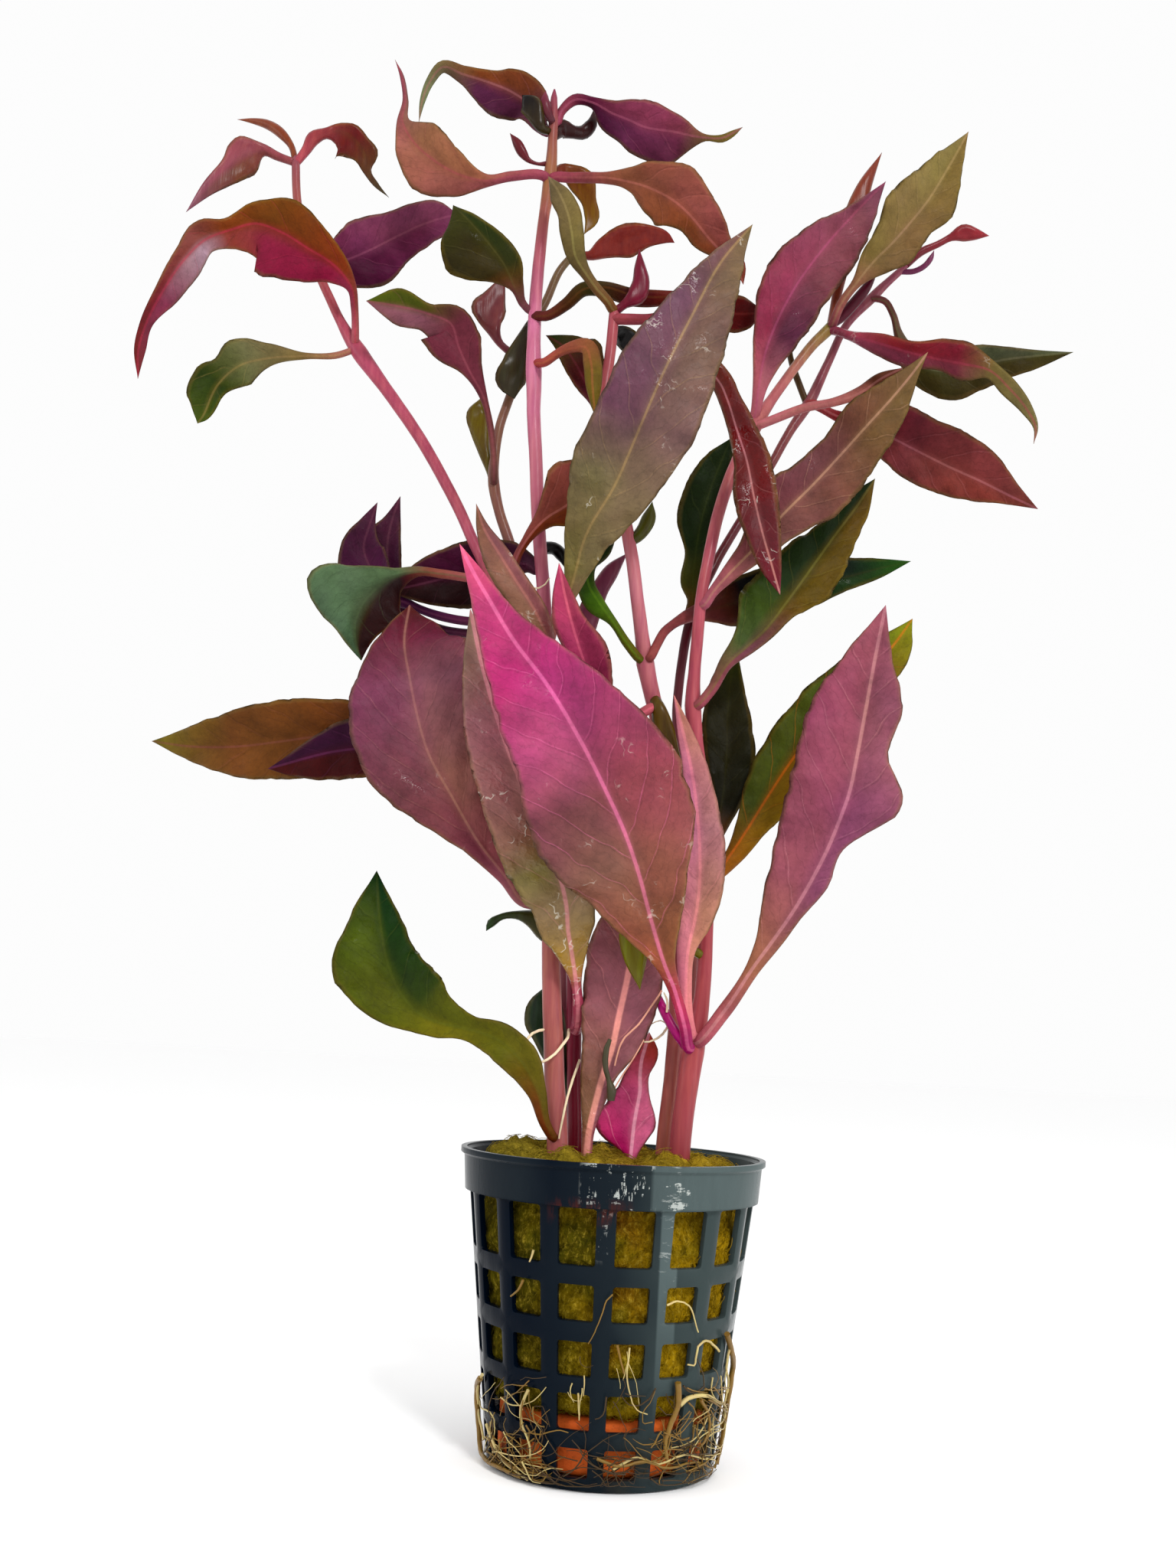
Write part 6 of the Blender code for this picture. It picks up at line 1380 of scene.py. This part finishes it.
# roots: picture positions, how far off the basket's face, and radius
rootLook = {"lift": 0.75, "thickLift": 0.9, "thick": 0.45, "wobble": 0.0006, "wobbleSize": 260.0,
            "gloss": 0.3}
roots = {
    "left": [
        (0.5, [(627, 1800), (622, 1818), (620, 1842), (620, 1862), (626, 1886), (634, 1906), (655, 1918),
               (680, 1930)]),
        (0.3, [(630, 1795), (624, 1812), (624, 1840), (628, 1862), (632, 1880)]),
        (0.28, [(624, 1880), (623, 1888), (628, 1897), (635, 1903)]),
        (0.3, [(635, 1860), (645, 1885), (655, 1905), (670, 1920), (690, 1932)]),
        (0.3, [(640, 1880), (650, 1900), (668, 1915), (700, 1925), (720, 1930)]),
        (0.26, [(690, 1815), (682, 1835), (680, 1850), (685, 1870), (692, 1885), (693, 1905)]),
        (0.22, [(683, 1672), (678, 1684), (667, 1692)]),
        (0.2, [(697, 1633), (694, 1641), (691, 1648)])],
    "front": [
        (0.52, [(885, 1806), (886, 1835), (876, 1860), (868, 1880), (871, 1905)]),
        (0.38, [(887, 1835), (900, 1826), (920, 1822), (935, 1830), (947, 1841), (948, 1855)]),
        (0.13, [(800, 1690), (795, 1692), (788, 1710), (780, 1735), (768, 1755)]),
        (0.15, [(822, 1760), (820, 1780), (819, 1800), (822, 1820), (830, 1840), (845, 1847)]),
        (0.2, [(806, 1757), (810, 1775), (815, 1795)]),
        (0.15, [(755, 1820), (756, 1838), (757, 1855)]),
        (0.3, [(915, 1828), (925, 1850), (925, 1870), (915, 1890), (910, 1895)]),
        (0.17, [(871, 1705), (880, 1700), (890, 1700), (900, 1705), (906, 1720), (912, 1740)]),
        (0.26, [(780, 1905), (810, 1915), (840, 1908), (870, 1918), (900, 1910), (930, 1918)]),
        (0.22, [(800, 1920), (830, 1903), (860, 1912), (890, 1900), (920, 1906), (948, 1898)])],
    "right": [
        (0.5, [(950, 1742), (955, 1765), (958, 1790), (956, 1820), (952, 1842), (947, 1862), (942, 1885),
               (937, 1912)]),
        (0.2, [(938, 1765), (925, 1752), (915, 1753), (908, 1770), (910, 1780), (905, 1785), (898, 1782)]),
        (0.28, [(947, 1850), (948, 1868), (942, 1882), (939, 1900), (934, 1922)]),
        (0.24, [(953, 1760), (949, 1785), (951, 1810), (946, 1835)])],
}


def besideWall(px, py, lift):
    # where a line of sight comes within a lift of the basket, or passes nearest to it
    ray = sight(px, py).normalized()
    best = None
    for step in range(280):  # from 27 mm in front of the axis, a tenth of a millimetre at a time
        point = eye + ray * ((-eye.y - 27.0 + step * 0.1) / ray.y)
        away = math.hypot(point.x, point.y) - wallRadius(point.z) - lift
        if best is None or away < best[0]:
            best = (away, point)
        if away <= 0.0:
            break
    point = best[1]
    turn = math.atan2(point.y, point.x)
    reach = wallRadius(point.z) + lift
    return Vector((math.cos(turn) * reach, math.sin(turn) * reach, max(point.z, 0.7)))


# loose strands in a picture box: how many, box, heading in degrees (90 is down), length, tone
looseRoots = {
    "left": [
        (9, (622, 1790, 664, 1880), 95, 80, "cream"), (16, (624, 1830, 680, 1905), 60, 90, "tan"),
        (22, (628, 1885, 700, 1925), 15, 110, "brown"), (12, (680, 1800, 706, 1880), 100, 60, "tan"),
        (6, (630, 1860, 690, 1920), 35, 90, "cream"), (8, (690, 1890, 720, 1930), 175, 80, "tan")],
    "front": [
        (16, (700, 1905, 900, 1934), 5, 110, "brown"), (14, (720, 1905, 880, 1934), 175, 90, "brown"),
        (10, (790, 1800, 900, 1880), 80, 70, "brown"), (12, (850, 1840, 930, 1900), 110, 80, "tan"),
        (3, (790, 1750, 830, 1790), 80, 80, "cream"), (4, (740, 1790, 770, 1830), 90, 50, "cream"),
        (10, (880, 1890, 945, 1920), 170, 70, "tan"), (2, (700, 1720, 760, 1800), 100, 50, "brown"),
        (8, (860, 1860, 890, 1900), 60, 50, "tan")],
    "right": [
        (9, (925, 1790, 955, 1860), 95, 90, "cream"), (16, (900, 1830, 950, 1900), 120, 80, "tan"),
        (12, (895, 1812, 945, 1835), 20, 60, "tan"), (5, (930, 1860, 950, 1920), 150, 60, "cream"),
        (14, (880, 1880, 945, 1925), 170, 90, "brown")],
}
rootTones = {"cream": "b9a56e", "tan": "785a23", "brown": "3c2a10"}
# the basket's outline in the picture, which the loose strands stay within
potOutline = {"middle": 780.0, "foot": 1950.0, "bow": 0.00028, "left": 632.0, "right": 946.0,
              "taper": 0.06, "step": 9.0}


def looseStrand(rng, box, heading, length):
    # a wandering path over the basket, kept on the side that faces out
    px, py = rng.uniform(box[0], box[2]), rng.uniform(box[1], box[3])
    way = math.radians(heading + rng.gauss(0.0, 28.0))
    turning = 0.0
    step = potOutline["step"]
    marks = []
    for _ in range(max(4, int(length * rng.uniform(0.5, 1.3) / step))):
        marks.append((px, py))
        turning = 0.7 * turning + rng.gauss(0.0, 0.3)
        way += turning + 0.05 * (math.radians(heading) - way)
        px += step * math.cos(way)
        py += step * math.sin(way)
        low = potOutline["foot"] - potOutline["bow"] * (px - potOutline["middle"]) ** 2 - 8.0
        if py > low:
            py = low
            way = 0.5 * way
        inset = (potOutline["foot"] - py) * potOutline["taper"]
        px = min(max(px, potOutline["left"] - inset), potOutline["right"] + inset)
    return marks


def rootFinish(name):
    skin = Finish(name, 0.4, rootLook["gloss"])
    place = skin.place()
    broad = skin.noise(place, 260.0, 3.0)
    fine = skin.noise(place, 1800.0, 2.0)
    shade = 0.6 + broad * 0.8
    tint = skin.add("ShaderNodeCombineXYZ", values=[shade, shade * (0.8 + fine * 0.4), shade * 0.95])
    skin.into("Base Color", skin.mix(1.0, skin.attribute("tone"), tint, "MULTIPLY"))
    skin.bump(fine, 0.4, 0.1)
    return skin.material


def buildRoots(tree):
    total = 0
    for name, strands in roots.items():
        rng = random.Random(len(name) * 7)
        groups = {tone: [] for tone in rootTones}
        for number, (radius, marks) in enumerate(strands):
            lift = rootLook["lift"] if radius < rootLook["thick"] else rootLook["thickLift"]
            points = [besideWall(px, py, lift) for px, py in marks]
            groups["tan" if number % 2 == 0 else "cream"].append(
                [(point, radius * (1.0 - 0.4 * i / (len(points) - 1))) for i, point in enumerate(points)])
        for count, box, heading, length, tone in looseRoots[name]:
            for _ in range(count):
                lift, thick = rng.uniform(0.3, 1.3), rng.uniform(0.05, 0.14)
                marks = looseStrand(rng, box, heading, length)
                groups[tone].append([(besideWall(px, py, lift), thick * (1.0 - 0.5 * i / len(marks)))
                                     for i, (px, py) in enumerate(marks)])
        material = rootFinish("roots_" + name)
        pieces = []
        for number, (tone, paths) in enumerate(groups.items()):
            piece = tubesOn("strands", paths, tree, material,
                            {"Sides": 6, "Spacing": 0.0006, "Wobble": rootLook["wobble"],
                             "Wobble Size": rootLook["wobbleSize"], "Seed": 3.0 + number})
            setColours(piece.data, "tone", np.tile(linear(rootTones[tone]), (len(piece.data.vertices), 1)))
            pieces.append(piece)
            total += len(paths)
        whole = joined("roots_" + name, pieces)
        for vert in whole.data.vertices:
            vert.co.z = max(vert.co.z, 0.0)
        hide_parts("roots_" + name)
        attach(whole, "root")
    print("root strands made:", total)


# thin roots in the air from the nodes of the stems, a wilted strip and a folded leaf's
# margins: tone, then positions with depth and radius
airRoots = [
    ("cream", [(712, 1345, 6, .24), (698, 1348, 8, .24), (689, 1355, 9, .22), (688, 1372, 9, .2),
               (698, 1398, 9, .18), (713, 1427, 8, .12)]),
    ("cream", [(743, 1345, 1, .25), (737, 1362, 7, .25), (718, 1382, 9, .22), (700, 1391, 9, .2),
               (680, 1397, 9, .12)]),
    ("cream", [(757, 1385, 3, .22), (746, 1415, 7, .22), (737, 1450, 8, .2), (730, 1487, 8, .15)]),
    ("cream", [(873, 1340, 1, .22), (864, 1352, 4, .2), (850, 1360, 5, .16), (835, 1360, 5, .12)]),
    ("cream", [(872, 1338, 2, .12), (862, 1333, 4, .1), (850, 1338, 5, .08)]),
    ("cream", [(871, 1322, 6, .2), (871, 1305, 7, .18), (867, 1297, 8, .1)]),
    ("cream", [(685, 758, 0, .14), (692, 768, 2, .14), (706, 768, 2, .14), (718, 755, 1, .1)]),
    ("olive", [(797, 1357, 8.5, .3), (791, 1375, 8.5, .55), (791, 1395, 8.5, .45), (797, 1416, 8, .35),
               (799, 1424, 8, .8), (798, 1438, 8, .6)]),
    ("pink", [(864, 1294, 8, .16), (850, 1315, 8, .16), (836, 1335, 8, .16), (812, 1360, 8, .16),
              (803, 1392, 7.5, .14)]),
    ("pink", [(841, 1358, 8, .1), (826, 1385, 8, .12), (808, 1412, 7.5, .12), (801, 1425, 7.5, .1)]),
]
airTones = {"cream": "dcc8aa", "olive": "37321e", "pink": "c88c78"}


def buildAirRoots(tree):
    material = rootFinish("air_roots")
    pieces = []
    for tone, marks in airRoots:
        piece = tubesOn("air", [[(spot(*mark[:3]), mark[3]) for mark in marks]], tree, material,
                        {"Sides": 8, "Spacing": 0.0005, "Wobble": 0.0004, "Wobble Size": 200.0, "Seed": 1.0})
        setColours(piece.data, "tone", np.tile(linear(airTones[tone]), (len(piece.data.vertices), 1)))
        pieces.append(piece)
    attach(joined("air_roots", pieces), "root")
    print("air roots made:", len(airRoots))


# studio
studio = {"floor": "fefefe", "world": 0.98, "aim": (0.0, 0.0, 0.12),
          "lights": [("key", 2.3, 0.1, (0.2, -0.5, 0.5)), ("left", 0.8, 0.3, (-0.6, -0.25, 0.35)),
                     ("right", 1.3, 0.4, (0.62, -0.3, 0.12))]}


def addStudio():
    floorFinish = Finish("floor", 0.8, 0.1)
    floorFinish.shader.inputs["Base Color"].default_value = paint(studio["floor"])
    bpy.ops.mesh.primitive_plane_add(size=6.0, location=(0.0, 0.0, -0.0002))
    floor = bpy.context.object
    floor.name = "floor"
    floor.data.materials.append(floorFinish.material)
    world = bpy.data.worlds.new("studio")
    world.use_nodes = True
    world.node_tree.nodes["Background"].inputs["Color"].default_value = (1.0, 1.0, 1.0, 1.0)
    world.node_tree.nodes["Background"].inputs["Strength"].default_value = studio["world"]
    bpy.context.scene.world = world
    bpy.context.scene.view_settings.view_transform = "Standard"
    for name, power, size, place in studio["lights"]:
        lamp = bpy.data.lights.new(name, "AREA")
        lamp.energy = power
        lamp.size = size
        light = addObject(name, lamp)
        light.location = place
        aim = Vector(studio["aim"]) - Vector(place)
        light.rotation_euler = aim.to_track_quat("-Z", "Y").to_euler()
    print("studio made:", len(studio["lights"]), "lights")


addCamera()
tubeNodes = tubeTree()
buildPot()
buildWool()
buildRing()
buildRoots(tubeNodes)
buildStems(tubeNodes)
buildLeaves()
buildAirRoots(tubeNodes)
addStudio()
